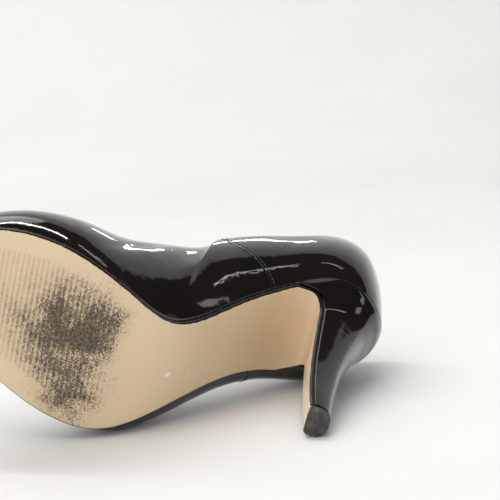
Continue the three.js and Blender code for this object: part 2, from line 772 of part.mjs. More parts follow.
// A piece of the upper: its wall up to the topline, and the margin lasted under the board.
function upperPiece(spans) {
  const margins = [LASTING_MARGIN, LASTING_MARGIN / 2];
  return sheetSolid(spans.length, WALL_COLUMNS + margins.length + 1, (i, j) => {
    const s = spans[i];
    const edge = outline(s);
    const inward = outward(s).negate();
    if (j < margins.length) {
      const at = edge.addScaledVector(inward, margins[j]);
      return [
        onLevel(at.x, at.y, LEVEL_MARGIN),
        onLevel(at.x, at.y, LEVEL_MARGIN + UPPER_THICK),
      ];
    }
    if (j === margins.length) {
      const at = edge.clone().addScaledVector(inward, UPPER_THICK);
      return [
        featherPoint(s),
        onLevel(at.x, at.y, LEVEL_MARGIN + UPPER_THICK),
      ];
    }
    const { at, normal } = wallPoint(s, columnHeight(j - margins.length));
    return [at, at.clone().addScaledVector(normal, -UPPER_THICK)];
  });
}

const SEAM_GAP_T = 0.0006; // half of the seam's clearance, as an edge angle
const BACK_GAP_T = 0.0035; // half of the clearance between the quarters at the back

// Edge angles from the toe tip to the side seam, close together just behind the throat,
// where the edge of the opening turns sharply.
function vampAngles() {
  const stepShares = [0.02, 0.08, 0.2, 0.4, 0.7];
  const turn = stepShares.map((share) => stepT(THROAT_STEP + share));
  const behind = edgeAngles(THROAT_STEP + 1, SEAM_STEP - 1);
  return [...edgeAngles(0, THROAT_STEP), ...turn, ...behind, SEAM_T - SEAM_GAP_T];
}

// The same angles on both sides, from the lateral seam round the toe to the medial one.
function vampSpans() {
  const angles = vampAngles();
  const lateral = angles.slice(1).map((t) => -t);
  return [...lateral.reverse(), ...angles];
}

const quarterSpans = (side) =>
  [
    SEAM_T + SEAM_GAP_T,
    ...edgeAngles(SEAM_STEP + 1, EDGE_STEPS - 1),
    1 - BACK_GAP_T,
  ].map((t) => side * t);

// Runs round the back of the heel from the medial side to the lateral side.
function heelSpans(fromStep) {
  const angles = edgeAngles(fromStep, EDGE_STEPS);
  const lateral = angles.slice(0, -1).map((t) => -t);
  return [...angles, ...lateral.reverse()];
}

const atTopline = () => 1;
const belowTopline = (drop) => (s) => {
  const top = toplineShare(s);
  const curve = profile(s);
  const edge = onProfile(curve, top);
  return firstCrossing(curve, (p) => p.distanceTo(edge) < drop) / top;
};
const aboveBoard = (s) => levelShare(s, LEVEL_CUSHION) / toplineShare(s);
const aboveSock = (s) => levelShare(s, LEVEL_SOCK + SOCK_THICK + GAP) / toplineShare(s);
const tapeFoot = () => columnHeight(WALL_COLUMNS - 1);
const counterTop = () => columnHeight(WALL_COLUMNS - 1.1); // just clear of the tape's foot

// ---------- the assembly ----------

addPiece("outsole", makeOutsole(), "sole");

const tubeLength = tubeBottom.distanceTo(tubeTop);
const THROUGH = 10; // a drill that leaves a body is run this far past it
const tubeHole = bar(alongTube(-THROUGH), alongTube(tubeLength + GAP), TUBE_RADIUS + GAP);
addPiece("heel_block", cut(makeHeelBlock(), [tubeHole, ...holesFor(heelFasteners)]), "plastic");
addPiece("heel_cover", makeHeelCover(), "patent");
addPiece(
  "heel_tube",
  cut(bar(tubeBottom, tubeTop, TUBE_RADIUS), [
    bar(alongTube(-THROUGH), alongTube(tubeLength + THROUGH), TUBE_BORE, PIN_SIDES),
  ]),
  "steel",
);

const pinStart = alongTube(PIN_START);
const pinEnd = alongTube(PIN_START + PIN_LENGTH);
addPiece("top_piece_pin", bar(pinStart, pinEnd, PIN_RADIUS, PIN_SIDES), "steel");
const topPiece = new THREE.ExtrudeGeometry(topPieceShape(), {
  depth: TOP_PIECE_THICK,
  bevelEnabled: false,
  curveSegments: 8,
}).translate(HEEL_SHIFT, 0, 0);
addPiece(
  "top_piece",
  cut(topPiece, [bar(alongTube(PIN_START - GAP), pinEnd, PIN_RADIUS + GAP, PIN_SIDES)]),
  "rubber",
);

for (const { name, kind, at } of FASTENERS) addPiece(name, fastenerAt(at, kind), "steel");

addPiece("shank", cut(makeShank(), holesFor(shankFasteners)), "steel");
addPiece(
  "insole_board",
  cut(
    stackSlab({ inset: BOARD_INSET, level: LEVEL_BOARD, thick: BOARD_THICK }),
    holesFor(FASTENERS),
  ),
  "board",
);
addPiece(
  "bottom_filler",
  stackSlab({
    to: FILLER_STEP,
    inset: LASTING_MARGIN + 2 * GAP,
    level: LEVEL_MARGIN,
    thick: UPPER_THICK,
  }),
  "board",
);
const SOCK_CLEARANCE = 1;
const stackInset = DEPTH_LINING + LINING_THICK + SOCK_CLEARANCE;
addPiece(
  "sock_cushion",
  stackSlab({ inset: stackInset, level: LEVEL_CUSHION, thick: CUSHION_THICK }),
  "foam",
);
addPiece("sock", stackSlab({ inset: stackInset, level: LEVEL_SOCK, thick: SOCK_THICK }), "lining");

addPiece("vamp", upperPiece(vampSpans()), "patent");
addPiece("medial_quarter", upperPiece(quarterSpans(1)), "patent");
addPiece("lateral_quarter", upperPiece(quarterSpans(-1)), "patent");

const stiffener = { depth: DEPTH_STIFFENER, thick: STIFFENER_THICK };
const lining = { depth: DEPTH_LINING, thick: LINING_THICK, low: aboveBoard, high: atTopline };
const puffAngles = edgeAngles(0, PUFF_STEP);
const puffSpans = [...puffAngles.slice(1).map((t) => -t).reverse(), ...puffAngles];
addPiece(
  "toe_puff",
  wallLayer({ spans: puffSpans, ...stiffener, low: aboveBoard, high: atTopline }),
  "stiffener",
);
addPiece(
  "heel_counter",
  wallLayer({
    spans: heelSpans(COUNTER_STEP),
    ...stiffener,
    low: aboveBoard,
    high: counterTop,
  }),
  "stiffener",
);
addPiece(
  "topline_tape",
  wallLayer({
    spans: heelSpans(TAPE_STEP),
    ...stiffener,
    low: tapeFoot,
    high: belowTopline(1),
  }),
  "lining",
);
addPiece("vamp_lining", wallLayer({ spans: vampSpans(), ...lining }), "lining");
addPiece("medial_quarter_lining", wallLayer({ spans: quarterSpans(1), ...lining }), "lining");
addPiece("lateral_quarter_lining", wallLayer({ spans: quarterSpans(-1), ...lining }), "lining");
addPiece(
  "heel_grip",
  wallLayer({
    spans: heelSpans(GRIP_STEP),
    depth: DEPTH_GRIP,
    thick: GRIP_THICK,
    low: aboveSock,
    high: belowTopline(2),
  }),
  "lining",
);

// Stand the shoe's box on the origin.
const box = new THREE.Box3().setFromObject(shoe);
const centre = box.getCenter(new THREE.Vector3());
shoe.position.set(-centre.x, -centre.y, -box.min.z);

export default shoe;
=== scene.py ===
import math

import bmesh
import bpy
import numpy as np
from mathutils import Matrix, Vector


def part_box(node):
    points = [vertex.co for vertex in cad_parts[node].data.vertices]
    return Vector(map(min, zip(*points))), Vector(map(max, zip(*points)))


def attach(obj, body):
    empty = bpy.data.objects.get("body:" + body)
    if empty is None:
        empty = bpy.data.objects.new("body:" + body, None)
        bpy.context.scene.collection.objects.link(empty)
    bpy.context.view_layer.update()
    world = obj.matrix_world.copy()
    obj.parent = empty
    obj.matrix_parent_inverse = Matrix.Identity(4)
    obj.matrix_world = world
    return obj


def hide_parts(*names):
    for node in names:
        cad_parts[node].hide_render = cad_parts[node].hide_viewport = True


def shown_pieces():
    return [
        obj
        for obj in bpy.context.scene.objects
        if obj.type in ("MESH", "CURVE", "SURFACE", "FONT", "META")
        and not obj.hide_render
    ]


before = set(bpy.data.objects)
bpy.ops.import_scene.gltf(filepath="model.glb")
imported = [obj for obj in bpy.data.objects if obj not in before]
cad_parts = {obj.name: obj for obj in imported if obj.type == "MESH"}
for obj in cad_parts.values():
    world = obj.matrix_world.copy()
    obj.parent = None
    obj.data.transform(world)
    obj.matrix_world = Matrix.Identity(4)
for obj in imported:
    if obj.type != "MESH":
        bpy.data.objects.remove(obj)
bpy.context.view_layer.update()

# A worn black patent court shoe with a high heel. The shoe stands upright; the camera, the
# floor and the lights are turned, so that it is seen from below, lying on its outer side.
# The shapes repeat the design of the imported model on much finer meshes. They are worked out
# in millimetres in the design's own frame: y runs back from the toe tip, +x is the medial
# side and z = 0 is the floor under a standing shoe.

# --- dimensions of the design, in mm ---

GAP = 0.3
# Sole: y, height of the bottom face, half width, shift to the medial side.
SOLE_STATIONS = np.array([
    (0, 5, 0, 8.5), (10, 3.5, 16, 8), (28, 1, 27.5, 7), (48, 0, 35, 6.5), (68, 0, 40, 2),
    (86, 0, 40, -2.5), (105, 4, 34, -7.5), (125, 19, 22, -10), (145, 49.5, 20, -6.5),
    (165, 73, 23, -5.5), (182, 84, 26, -5.5), (197, 88.5, 20.5, -5.5), (209, 92, 0, -5.5),
])
SOLE_LENGTH = 209
TREAD = (48, 86)
TOE_ROUNDNESS = 37
HEEL_ROUNDNESS = 46

# Landmarks along the sole edge, as edge angles from 0 (toe tip) to 1 (heel back).
THROAT_T = 15 / 40
SEAM_T = 26.7 / 40
BREAST_T = 28 / 40
GRIP_T = 34 / 40
SEAM_GAP_T = 0.0006
BACK_GAP_T = 0.0008
SIDES = {"medial": 1, "lateral": -1}  # signs of the edge angles
# The side seams lean forward as they rise, along a bowed line.
SEAM_LEAN = 0.075
SEAM_LEAN_REACH = 0.2
SEAM_BOW = 1.6

# Heel rows: flap face y, z, half width, then the heel's back y, z.
HEEL_ROWS = np.array([
    (172.5, 77.4, 21, 207.3, 90), (176.2, 77, 18.3, 205.5, 86), (178, 73.5, 16, 203.3, 80.5),
    (178.8, 68, 14.3, 200.7, 72), (180.5, 52, 10.9, 197.8, 54), (182.6, 35, 8, 196.7, 35.5),
    (185.6, 17, 6.4, 197.2, 17), (188.2, 6, 5.4, 198, 6),
])
HEEL_SHIFT = -5.5
HEEL_SQUARENESS = 2.4
HEEL_START = 0.04  # how far down the flap the heel's front starts
SEAT_BLEND = 0.55  # how far down the heel the outline of its seat fades into its own
CORNER_SPEED = 50
COVER_LIP = 0.6  # how far the covered heel stands out past the flap

OUTSOLE_THICK = 2.8
FLAP_THICK = 2
UPPER_THICK = 1.1
STIFFENER_THICK = 0.7
LINING_THICK = 0.8
GRIP_THICK = 0.7
SHANK_THICK = 1.1
BOARD_THICK = 2
CUSHION_THICK = 1.5
SOCK_THICK = 0.8

LEVEL_MARGIN = OUTSOLE_THICK + GAP
LEVEL_BOARD = LEVEL_MARGIN + SHANK_THICK + GAP
LEVEL_CUSHION = LEVEL_BOARD + BOARD_THICK + GAP
LEVEL_SOCK = LEVEL_CUSHION + CUSHION_THICK + GAP
DEPTH_LINING = UPPER_THICK + GAP + STIFFENER_THICK + GAP
DEPTH_GRIP = DEPTH_LINING + LINING_THICK + GAP

# Ridge of the last: x, y, z. Edge of the foot opening: y, z.
RIDGE = np.array([
    (8, 16, 28), (7, 30, 36), (5, 50, 46), (2.5, 70, 58), (3, 100, 82), (3, 130, 114),
    (-2, 158, 146), (-5.5, 182, 166),
])
TOPLINE = np.array([
    (75, 51), (83, 49), (92, 54), (105, 69), (125, 90), (150, 110), (180, 130), (214, 146),
])
THROAT_DROP = -2.4

PROFILE_T = [0, 0.2, 0.4, 0.5, 0.6, 0.7, 0.85, 1]
FULLNESS_T = [0, 0.3, 0.4, 0.45, 0.5, 0.55, 0.6, 0.7, 0.85, 1]

# --- curves ---


def spline(xs, ys, start=None, end=None):
    """Cubic spline through (xs, ys) for arrays; a missing end slope leaves that end free."""
    xs = np.asarray(xs, float)
    ys = np.asarray(ys, float)
    last = len(xs) - 1
    step = np.diff(xs)
    slope = np.diff(ys) / step
    matrix = np.zeros((last + 1, last + 1))
    right = np.zeros(last + 1)
    for i in range(1, last):
        matrix[i, i - 1 : i + 2] = step[i - 1], 2 * (step[i - 1] + step[i]), step[i]
        right[i] = 6 * (slope[i] - slope[i - 1])
    matrix[0, 0] = matrix[last, last] = 1
    if start is not None:
        matrix[0, :2] = 2 * step[0], step[0]
        right[0] = 6 * (slope[0] - start)
    if end is not None:
        matrix[last, last - 1 :] = step[-1], 2 * step[-1]
        right[last] = 6 * (end - slope[-1])
    bend = np.linalg.solve(matrix, right)

    def at(x):
        x = np.asarray(x, float)
        i = np.clip(np.searchsorted(xs, x) - 1, 0, last - 1)
        a = xs[i + 1] - x
        b = x - xs[i]
        h = step[i]
        curved = (bend[i] * a**3 + bend[i + 1] * b**3) / (6 * h)
        low = ys[i] / h - bend[i] * h / 6
        high = ys[i + 1] / h - bend[i + 1] * h / 6
        return curved + low * a + high * b

    return at


def stack3(x, y, z):
    """Arrays x, y, z as one array of points."""
    x, y, z = np.broadcast_arrays(x, y, z)
    return np.stack([x, y, z], -1).astype(float)


def unit(v):
    return v / np.linalg.norm(v, axis=-1, keepdims=True)


def mix(a, b, share):
    return a + (b - a) * share


def smoothstep(x, low, high):
    t = np.clip((x - low) / (high - low), 0, 1)
    return t * t * (3 - 2 * t)


def spot(x, y, at_x, at_y, wide, long):
    """Squared distance from the middle of a spot, which is 1 at its reach."""
    return ((x - at_x) / wide) ** 2 + ((y - at_y) / long) ** 2


# --- the sole and the last ---


def edge_y(t):
    return SOLE_LENGTH * (1 - np.cos(np.pi * t)) / 2


def edge_t(y):
    return np.arccos(1 - 2 * np.clip(y, 0, SOLE_LENGTH) / SOLE_LENGTH) / np.pi


sole_y, sole_z, sole_half, sole_shift = SOLE_STATIONS.T
height_spline = spline(sole_y, sole_z)
shift_at = spline(sole_y, sole_shift)
station_t = edge_t(sole_y[1:-1])
roundness = spline(
    [0, *station_t, 1],
    [TOE_ROUNDNESS, *(sole_half[1:-1] / np.sin(np.pi * station_t)), HEEL_ROUNDNESS],
    0,
    0,
)


def half_at(t):
    return np.sin(np.pi * t) * roundness(t)


def sole_height(y):
    flat = (y >= TREAD[0]) & (y <= TREAD[1])
    return np.where(flat, 0, np.maximum(0, height_spline(y)))


def sole_normal(y):
    reach = 0.5
    rise = height_spline(y + reach) - height_spline(y - reach)
    return unit(stack3(0, -rise, 2 * reach))


def on_level(at, level):
    """Points raised from a plan onto a level of the bottom stack."""
    x, y = at[..., 0], at[..., 1]
    return stack3(x, y, sole_height(y)) + sole_normal(y) * np.asarray(level)[..., None]


def outline(s):
    t = np.abs(s)
    y = edge_y(t)
    return stack3(shift_at(y) + np.sign(s) * half_at(t), y, 0)


def outward(s):
    reach = 2e-3
    t = np.clip(np.abs(s), reach, 1 - reach) * np.where(s < 0, -1, 1)
    along = outline(t + reach) - outline(t - reach)
    normal = unit(stack3(along[..., 1], -along[..., 0], 0))
    tip = np.abs(s) < 1e-6
    back = np.abs(s) > 1 - 1e-6
    normal[tip] = (0, -1, 0)
    normal[back] = (0, 1, 0)
    return normal


def stack_point(t, across, level):
    """Points of the bottom stack; across runs from -1 (lateral) to 1 (medial)."""
    at = mix(outline(-t), outline(t), (across[..., None] + 1) / 2)
    return on_level(at, level)


ridge_x, ridge_along, ridge_z = RIDGE.T
ridge_height = spline(ridge_along, ridge_z)
ridge_shift = spline(ridge_along, ridge_x)


def ridge_y(y):
    return mix(ridge_along[0], ridge_along[-1], y / SOLE_LENGTH)


THROAT_Y = float(ridge_y(edge_y(THROAT_T)))
topline_height = spline(
    [THROAT_Y, *TOPLINE[:, 0]],
    [float(ridge_height(THROAT_Y)), *TOPLINE[:, 1]],
    THROAT_DROP,
)
medial_lean = spline(PROFILE_T, [0.3, 0.3, 0.45, 0.45, 1.3, 1.3, 0.3, 0.05])
medial_handle = spline(PROFILE_T, [0.6, 0.55, 0.45, 0.45, 0.45, 0.42, 0.5, 0.55])
lateral_lean = spline(PROFILE_T, [0.3, 0.35, 0.35, 1, 2.4, 2.7, 0.6, 0.05])
lateral_handle = spline(PROFILE_T, [0.6, 0.55, 0.5, 0.38, 0.32, 0.34, 0.45, 0.55])
ridge_handle = spline(PROFILE_T, [0.55, 0.6, 0.65, 0.7, 0.7, 0.6, 0.5, 0.45])
medial_fullness = spline(FULLNESS_T, [0, 0, -3, -7, 4, 14, 15, 7, 0, 0])
lateral_overhang = spline(FULLNESS_T, [0, 0, 0.3, 0.8, 2, 3.2, 5.2, 5, 0.8, 0])


def feather_point(s):
    overhang = np.where(s < 0, lateral_overhang(np.abs(s)), 0)
    at = outline(s) + outward(s) * overhang[..., None]
    return on_level(at, LEVEL_MARGIN)


def profile(s):
    """The four control points of the wall's profile at signed edge angles."""
    t = np.abs(s)
    y = edge_y(t)
    start = feather_point(s)
    top_y = ridge_y(y)
    end = stack3(ridge_shift(top_y), top_y, ridge_height(top_y))
    reach = 0.5
    slope = (ridge_height(top_y + reach) - ridge_height(top_y - reach)) / (2 * reach)
    rise = end - start
    up = unit(mix(sole_normal(y), np.array([0, 0, 1.0]), 0.5))
    lateral = s < 0
    lean = np.where(lateral, lateral_lean(t), medial_lean(t))
    leave = unit(up + outward(s) * lean[..., None])
    back = stack3(-rise[..., 0], -rise[..., 1], -rise[..., 1] * slope)
    handle = np.where(lateral, lateral_handle(t), medial_handle(t))
    second = start + leave * (handle * rise[..., 2])[..., None]
    third = end + back * ridge_handle(t)[..., None]
    fullness = np.where(s > 0, medial_fullness(t), 0)
    third = third + outward(s) * fullness[..., None]
    return start, second, third, end


def on_profile(curve, v):
    a, b, c, d = curve
    v = np.asarray(v)[..., None]
    w = 1 - v
    return a * w**3 + b * (3 * w * w * v) + c * (3 * w * v * v) + d * v**3


def first_crossing(curve, test):
    """First share of each profile where test(points) turns true, or 1."""
    steps, halvings = 60, 20
    shape = curve[0].shape[:-1]
    low = np.zeros(shape)
    high = np.ones(shape)
    found = np.zeros(shape, bool)
    for i in range(1, steps + 1):
        hit = test(on_profile(curve, np.full(shape, i / steps))) & ~found
        low[hit] = (i - 1) / steps
        high[hit] = i / steps
        found |= hit
    for _ in range(halvings):
        middle = (low + high) / 2
        past = test(on_profile(curve, middle))
        high = np.where(found & past, middle, high)
        low = np.where(found & ~past, middle, low)
    return np.where(found, high, 1)


def topline_share(s):
    crossing = first_crossing(profile(s), lambda p: p[..., 2] > topline_height(p[..., 1]))
    return np.where(np.abs(s) <= THROAT_T + 1e-9, 1, crossing)


def level_share(s, level):
    curve = profile(s)
    normal = sole_normal(edge_y(np.abs(s)))
    lift = level - LEVEL_MARGIN
    return first_crossing(curve, lambda p: ((p - curve[0]) * normal).sum(-1) > lift)


def wall_normal(s, share):
    """Outward normals of the wall, taken a little short of the ridge of the last."""
    short_of_ridge = 0.985
    v = np.minimum(share, short_of_ridge)
    reach = 4e-3
    middle = np.clip(s, -1 + reach, 1 - reach)
    along = on_profile(profile(middle + reach), v) - on_profile(profile(middle - reach), v)
    curve = profile(middle)
    upward = on_profile(curve, v + reach) - on_profile(curve, np.maximum(0, v - reach))
    return unit(np.cross(along, upward))


def wall_point(s, height):
    """Places on the wall and their outward normals; height runs from foot to topline."""
    s, height = np.broadcast_arrays(s, height)
    near = 1 - smoothstep(np.abs(np.abs(s) - SEAM_T), 0, SEAM_LEAN_REACH)
    leaned = s - np.sign(s) * SEAM_LEAN * near * height**SEAM_BOW
    v = topline_share(leaned) * height
    return on_profile(profile(leaned), v), wall_normal(leaned, v)


# --- the shape of the heel ---

corner_y = float(edge_y(BREAST_T))
corner_normal = sole_normal(np.array(corner_y))
back_top = on_level(stack3(0, SOLE_LENGTH, 0), OUTSOLE_THICK)
heel_rows = np.vstack([
    (corner_y, float(sole_height(corner_y)), float(half_at(BREAST_T)), back_top[1], back_top[2]),
    HEEL_ROWS,
])
row_share = np.linspace(0, 1, len(heel_rows))
heel_y = spline(row_share, heel_rows[:, 0], CORNER_SPEED * corner_normal[2])
heel_z = spline(row_share, heel_rows[:, 1], -CORNER_SPEED * corner_normal[1])
heel_half, heel_back_y, heel_back_z = (spline(row_share, v) for v in heel_rows[:, 2:].T)


def flap_normal(p):
    reach = 1e-3
    dy = heel_y(p + reach) - heel_y(p - reach)
    dz = heel_z(p + reach) - heel_z(p - reach)
    return unit(stack3(0, -dz, dy))


def flap_thickness(p):
    return mix(OUTSOLE_THICK, FLAP_THICK, np.clip(3 * p, 0, 1))


def heel_front(p):
    clear = mix(HEEL_START, 1, p)
    at = stack3(HEEL_SHIFT, heel_y(clear), heel_z(clear))
    return at + flap_normal(clear) * (flap_thickness(clear) + GAP)[..., None]


def heel_back(p):
    return stack3(HEEL_SHIFT, heel_back_y(p), heel_back_z(p))


def heel_point(p, turn, side):
    """Points of the heel's face: turn runs from 0 (front edge) to 1 (back centre)."""
    p, turn, side = np.broadcast_arrays(p, turn, side)
    angle = turn * np.pi / 2
    power = 2 / HEEL_SQUARENESS
    t = mix(BREAST_T, 1, turn)
    front0 = heel_front(np.array(0.0))
    back0 = heel_back(np.array(0.0))
    seat = on_level(stack3(0, edge_y(t), 0), OUTSOLE_THICK)
    seat_depth = np.maximum(0, (seat[..., 1] - front0[1]) / (back0[1] - front0[1]))
    seat_rise = np.where(turn == 0, 0, seat[..., 2] - mix(front0[2], back0[2], seat_depth))
    weight = 1 - smoothstep(p, 0, SEAT_BLEND)
    half = mix(np.cos(angle) ** power, half_at(t) / half_at(BREAST_T), weight)
    depth = mix(np.sin(angle) ** power, seat_depth, weight)
    at = mix(heel_front(p), heel_back(p), depth[..., None])
    lip = COVER_LIP * (1 - weight)
    at[..., 0] += side * half * (heel_half(p) + lip)
    at[..., 2] += seat_rise * weight
    return at


# --- from the design's frame to the row frame ---

outsole_low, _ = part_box("outsole")
tip_low, tip_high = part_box("top_piece")
tip_middle = (tip_low[0] + tip_high[0]) / 2
ORIGIN = np.array([tip_middle * 1000 - HEEL_SHIFT, outsole_low[1] * 1000, outsole_low[2] * 1000])


def place(points):
    """Points of the design, in mm, as points of the row frame, in metres."""
    return (np.asarray(points) + ORIGIN) / 1000


# --- meshes ---

WELD_DISTANCE = 2e-6
FLAT_DISTANCE = 1e-7


def add_object(name, data):
    thing = bpy.data.objects.new(name, data)
    bpy.context.scene.collection.objects.link(thing)
    return thing


def new_piece(name, points, faces, material, replaces=(), weld=False, attributes=None):
    """A smooth mesh piece that rides on the shoe and stands for the named CAD nodes."""
    mesh = bpy.data.meshes.new(name)
    mesh.from_pydata(place(points).reshape(-1, 3).tolist(), [], faces)
    for key, values in (attributes or {}).items():
        field = mesh.attributes.new(key, "FLOAT", "POINT")
        field.data.foreach_set("value", np.asarray(values, np.float32).ravel())
    work = bmesh.new()
    work.from_mesh(mesh)
    if weld:
        bmesh.ops.remove_doubles(work, verts=work.verts, dist=WELD_DISTANCE)
    bmesh.ops.dissolve_degenerate(work, edges=work.edges, dist=FLAT_DISTANCE)
    bmesh.ops.recalc_face_normals(work, faces=work.faces)
    work.to_mesh(mesh)
    work.free()
    mesh.polygons.foreach_set("use_smooth", [True] * len(mesh.polygons))
    for one in material if isinstance(material, list) else [material]:
        mesh.materials.append(one)
    piece = add_object(name, mesh)
    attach(piece, "root")
    if replaces:
        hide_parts(*replaces)
    return piece


def grid_faces(rows, columns, first=0, wrap=False):
    """Quads of a grid of points; with wrap the last column joins the first."""
    faces = []
    for i in range(rows - 1):
        for j in range(columns if wrap else columns - 1):
            k = (j + 1) % columns
            a = first + i * columns
            faces.append((a + j, a + columns + j, a + columns + k, a + k))
    return faces


def tube_faces(rows, columns, first=0):
    """Faces of a tube made of rings, with one face over each end."""
    last = first + (rows - 1) * columns
    ends = [tuple(range(start, start + columns)) for start in (first, last)]
    return grid_faces(rows, columns, first, wrap=True) + ends


def end_caps(rows, columns):
    """Caps at both ends of a wrapped grid whose columns go up one face and down the other."""
    faces = []
    for start in (0, (rows - 1) * columns):
        for j in range(columns // 2 - 1):
            k = columns - 1 - j
            faces.append((start + j, start + j + 1, start + k - 1, start + k))
    return faces


def rounded(outer, inner):
    """Points of a half round that joins the last column of outer to that of inner."""
    start, end = outer[:, -1], inner[:, -1]
    middle = (start + end) / 2
    reach = (start - end) / 2
    up = unit(outer[:, -1] - outer[:, -2])
    radius = np.linalg.norm(reach, axis=-1, keepdims=True)
    angles = np.pi * np.arange(1, 6) / 6
    return np.stack([middle + reach * math.cos(a) + up * radius * math.sin(a) for a in angles], 1)


# --- materials ---


class Nodes:
    """A short way to build a node material around one Principled shader."""

    def __init__(self, name):
        self.material = bpy.data.materials.new(name)
        self.material.use_nodes = True
        self.tree = self.material.node_tree
        self.shader = self.tree.nodes["Principled BSDF"]

    def add(self, kind, inputs=None, **settings):
        node = self.tree.nodes.new("ShaderNode" + kind)
        for key, value in settings.items():
            setattr(node, key, value)
        for key, value in (inputs or {}).items():
            self.link(value, node.inputs[key])
        return node

    def link(self, value, socket):
        if isinstance(value, bpy.types.NodeSocket):
            self.tree.links.new(value, socket)
        else:
            socket.default_value = value

    def set(self, **inputs):
        for key, value in inputs.items():
            self.link(value, self.shader.inputs[key.replace("_", " ")])

    def object_point(self):
        return self.add("TexCoord").outputs["Object"]

    def noise(self, scale, detail, roughness, vector=None):
        inputs = {"Scale": scale, "Detail": detail, "Roughness": roughness}
        inputs["Vector"] = vector or self.object_point()
        return self.add("TexNoise", inputs).outputs["Fac"]

    def math(self, operation, a, b):
        return self.add("Math", {0: a, 1: b}, operation=operation).outputs[0]

    def plus(self, a, b):
        return self.math("ADD", a, b)

    def minus(self, a, b):
        return self.math("SUBTRACT", a, b)

    def times(self, a, b):
        return self.math("MULTIPLY", a, b)

    def ramp(self, value, stops):
        """A colour ramp from (position, colour) stops; a number stands for a grey."""
        node = self.add("ValToRGB", {"Fac": value})
        elements = node.color_ramp.elements
        while len(elements) < len(stops):
            elements.new(0.5)
        for element, (position, colour) in zip(elements, stops):
            element.position = position
            grey = isinstance(colour, (int, float))
            element.color = (colour, colour, colour, 1) if grey else (*colour, 1)
        return node.outputs["Color"]

    def blend(self, share, a, b):
        node = self.add("Mix", data_type="RGBA")
        self.link(share, node.inputs["Factor"])
        for value, socket in ((a, node.inputs["A"]), (b, node.inputs["B"])):
            self.link((*value, 1) if isinstance(value, tuple) else value, socket)
        return node.outputs["Result"]

    def bump(self, height, strength, distance, below=None):
        inputs = {"Height": height, "Strength": strength, "Distance": distance}
        if below is not None:
            inputs["Normal"] = below
        return self.add("Bump", inputs).outputs["Normal"]

    def attribute(self, name):
        return self.add("Attribute", attribute_name=name).outputs["Fac"]


def patent_material(name, waviness=0.35):
    """Black patent leather: a deep gloss over a faintly wavy skin, with fine dust specks."""
    n = Nodes(name)
    swell = n.noise(38, 2, 0.4)
    ripple = n.noise(170, 2, 0.45)
    skin = n.bump(ripple, 0.4 * waviness, 0.001, n.bump(swell, waviness, 0.003))
    smudge = n.noise(60, 5, 0.6)
    roughness = n.ramp(smudge, [(0.35, 0.045), (0.75, 0.11)])
    specks = n.ramp(n.noise(2600, 2, 0.5), [(0.735, 0.0), (0.78, 1.0)])
    base = n.ramp(swell, [(0.3, (0.0045, 0.0042, 0.0045)), (0.7, (0.008, 0.0068, 0.0066))])
    colour = n.blend(n.times(specks, 0.25), base, (0.16, 0.16, 0.16))
    n.set(Base_Color=colour, Roughness=roughness, Normal=skin)
    n.set(Specular_IOR_Level=0.62, Coat_Weight=0.6, Coat_Roughness=0.03)
    return n.material


def mottled_material(name, noise, colour, roughness, relief, stretch=None, **more):
    """A material whose colour, roughness and relief all follow one noise."""
    n = Nodes(name)
    at = n.object_point()
    if stretch:
        at = n.add("Mapping", {"Vector": at, "Scale": stretch}).outputs[0]
    mottle = n.noise(*noise, vector=at)
    n.set(
        Base_Color=n.ramp(mottle, colour),
        Roughness=n.ramp(mottle, roughness),
        Normal=n.bump(mottle, *relief),
        **more,
    )
    return n.material


def board_material(name, light, dark, fibre=500):
    """Pressed fibre board, foam or moulded sheet with a mottled surface."""
    colour = [(0.3, dark), (0.7, light)]
    roughness = [(0.3, 0.75), (0.7, 0.95)]
    return mottled_material(name, (fibre, 6, 0.7), colour, roughness, (0.4, 0.0005))


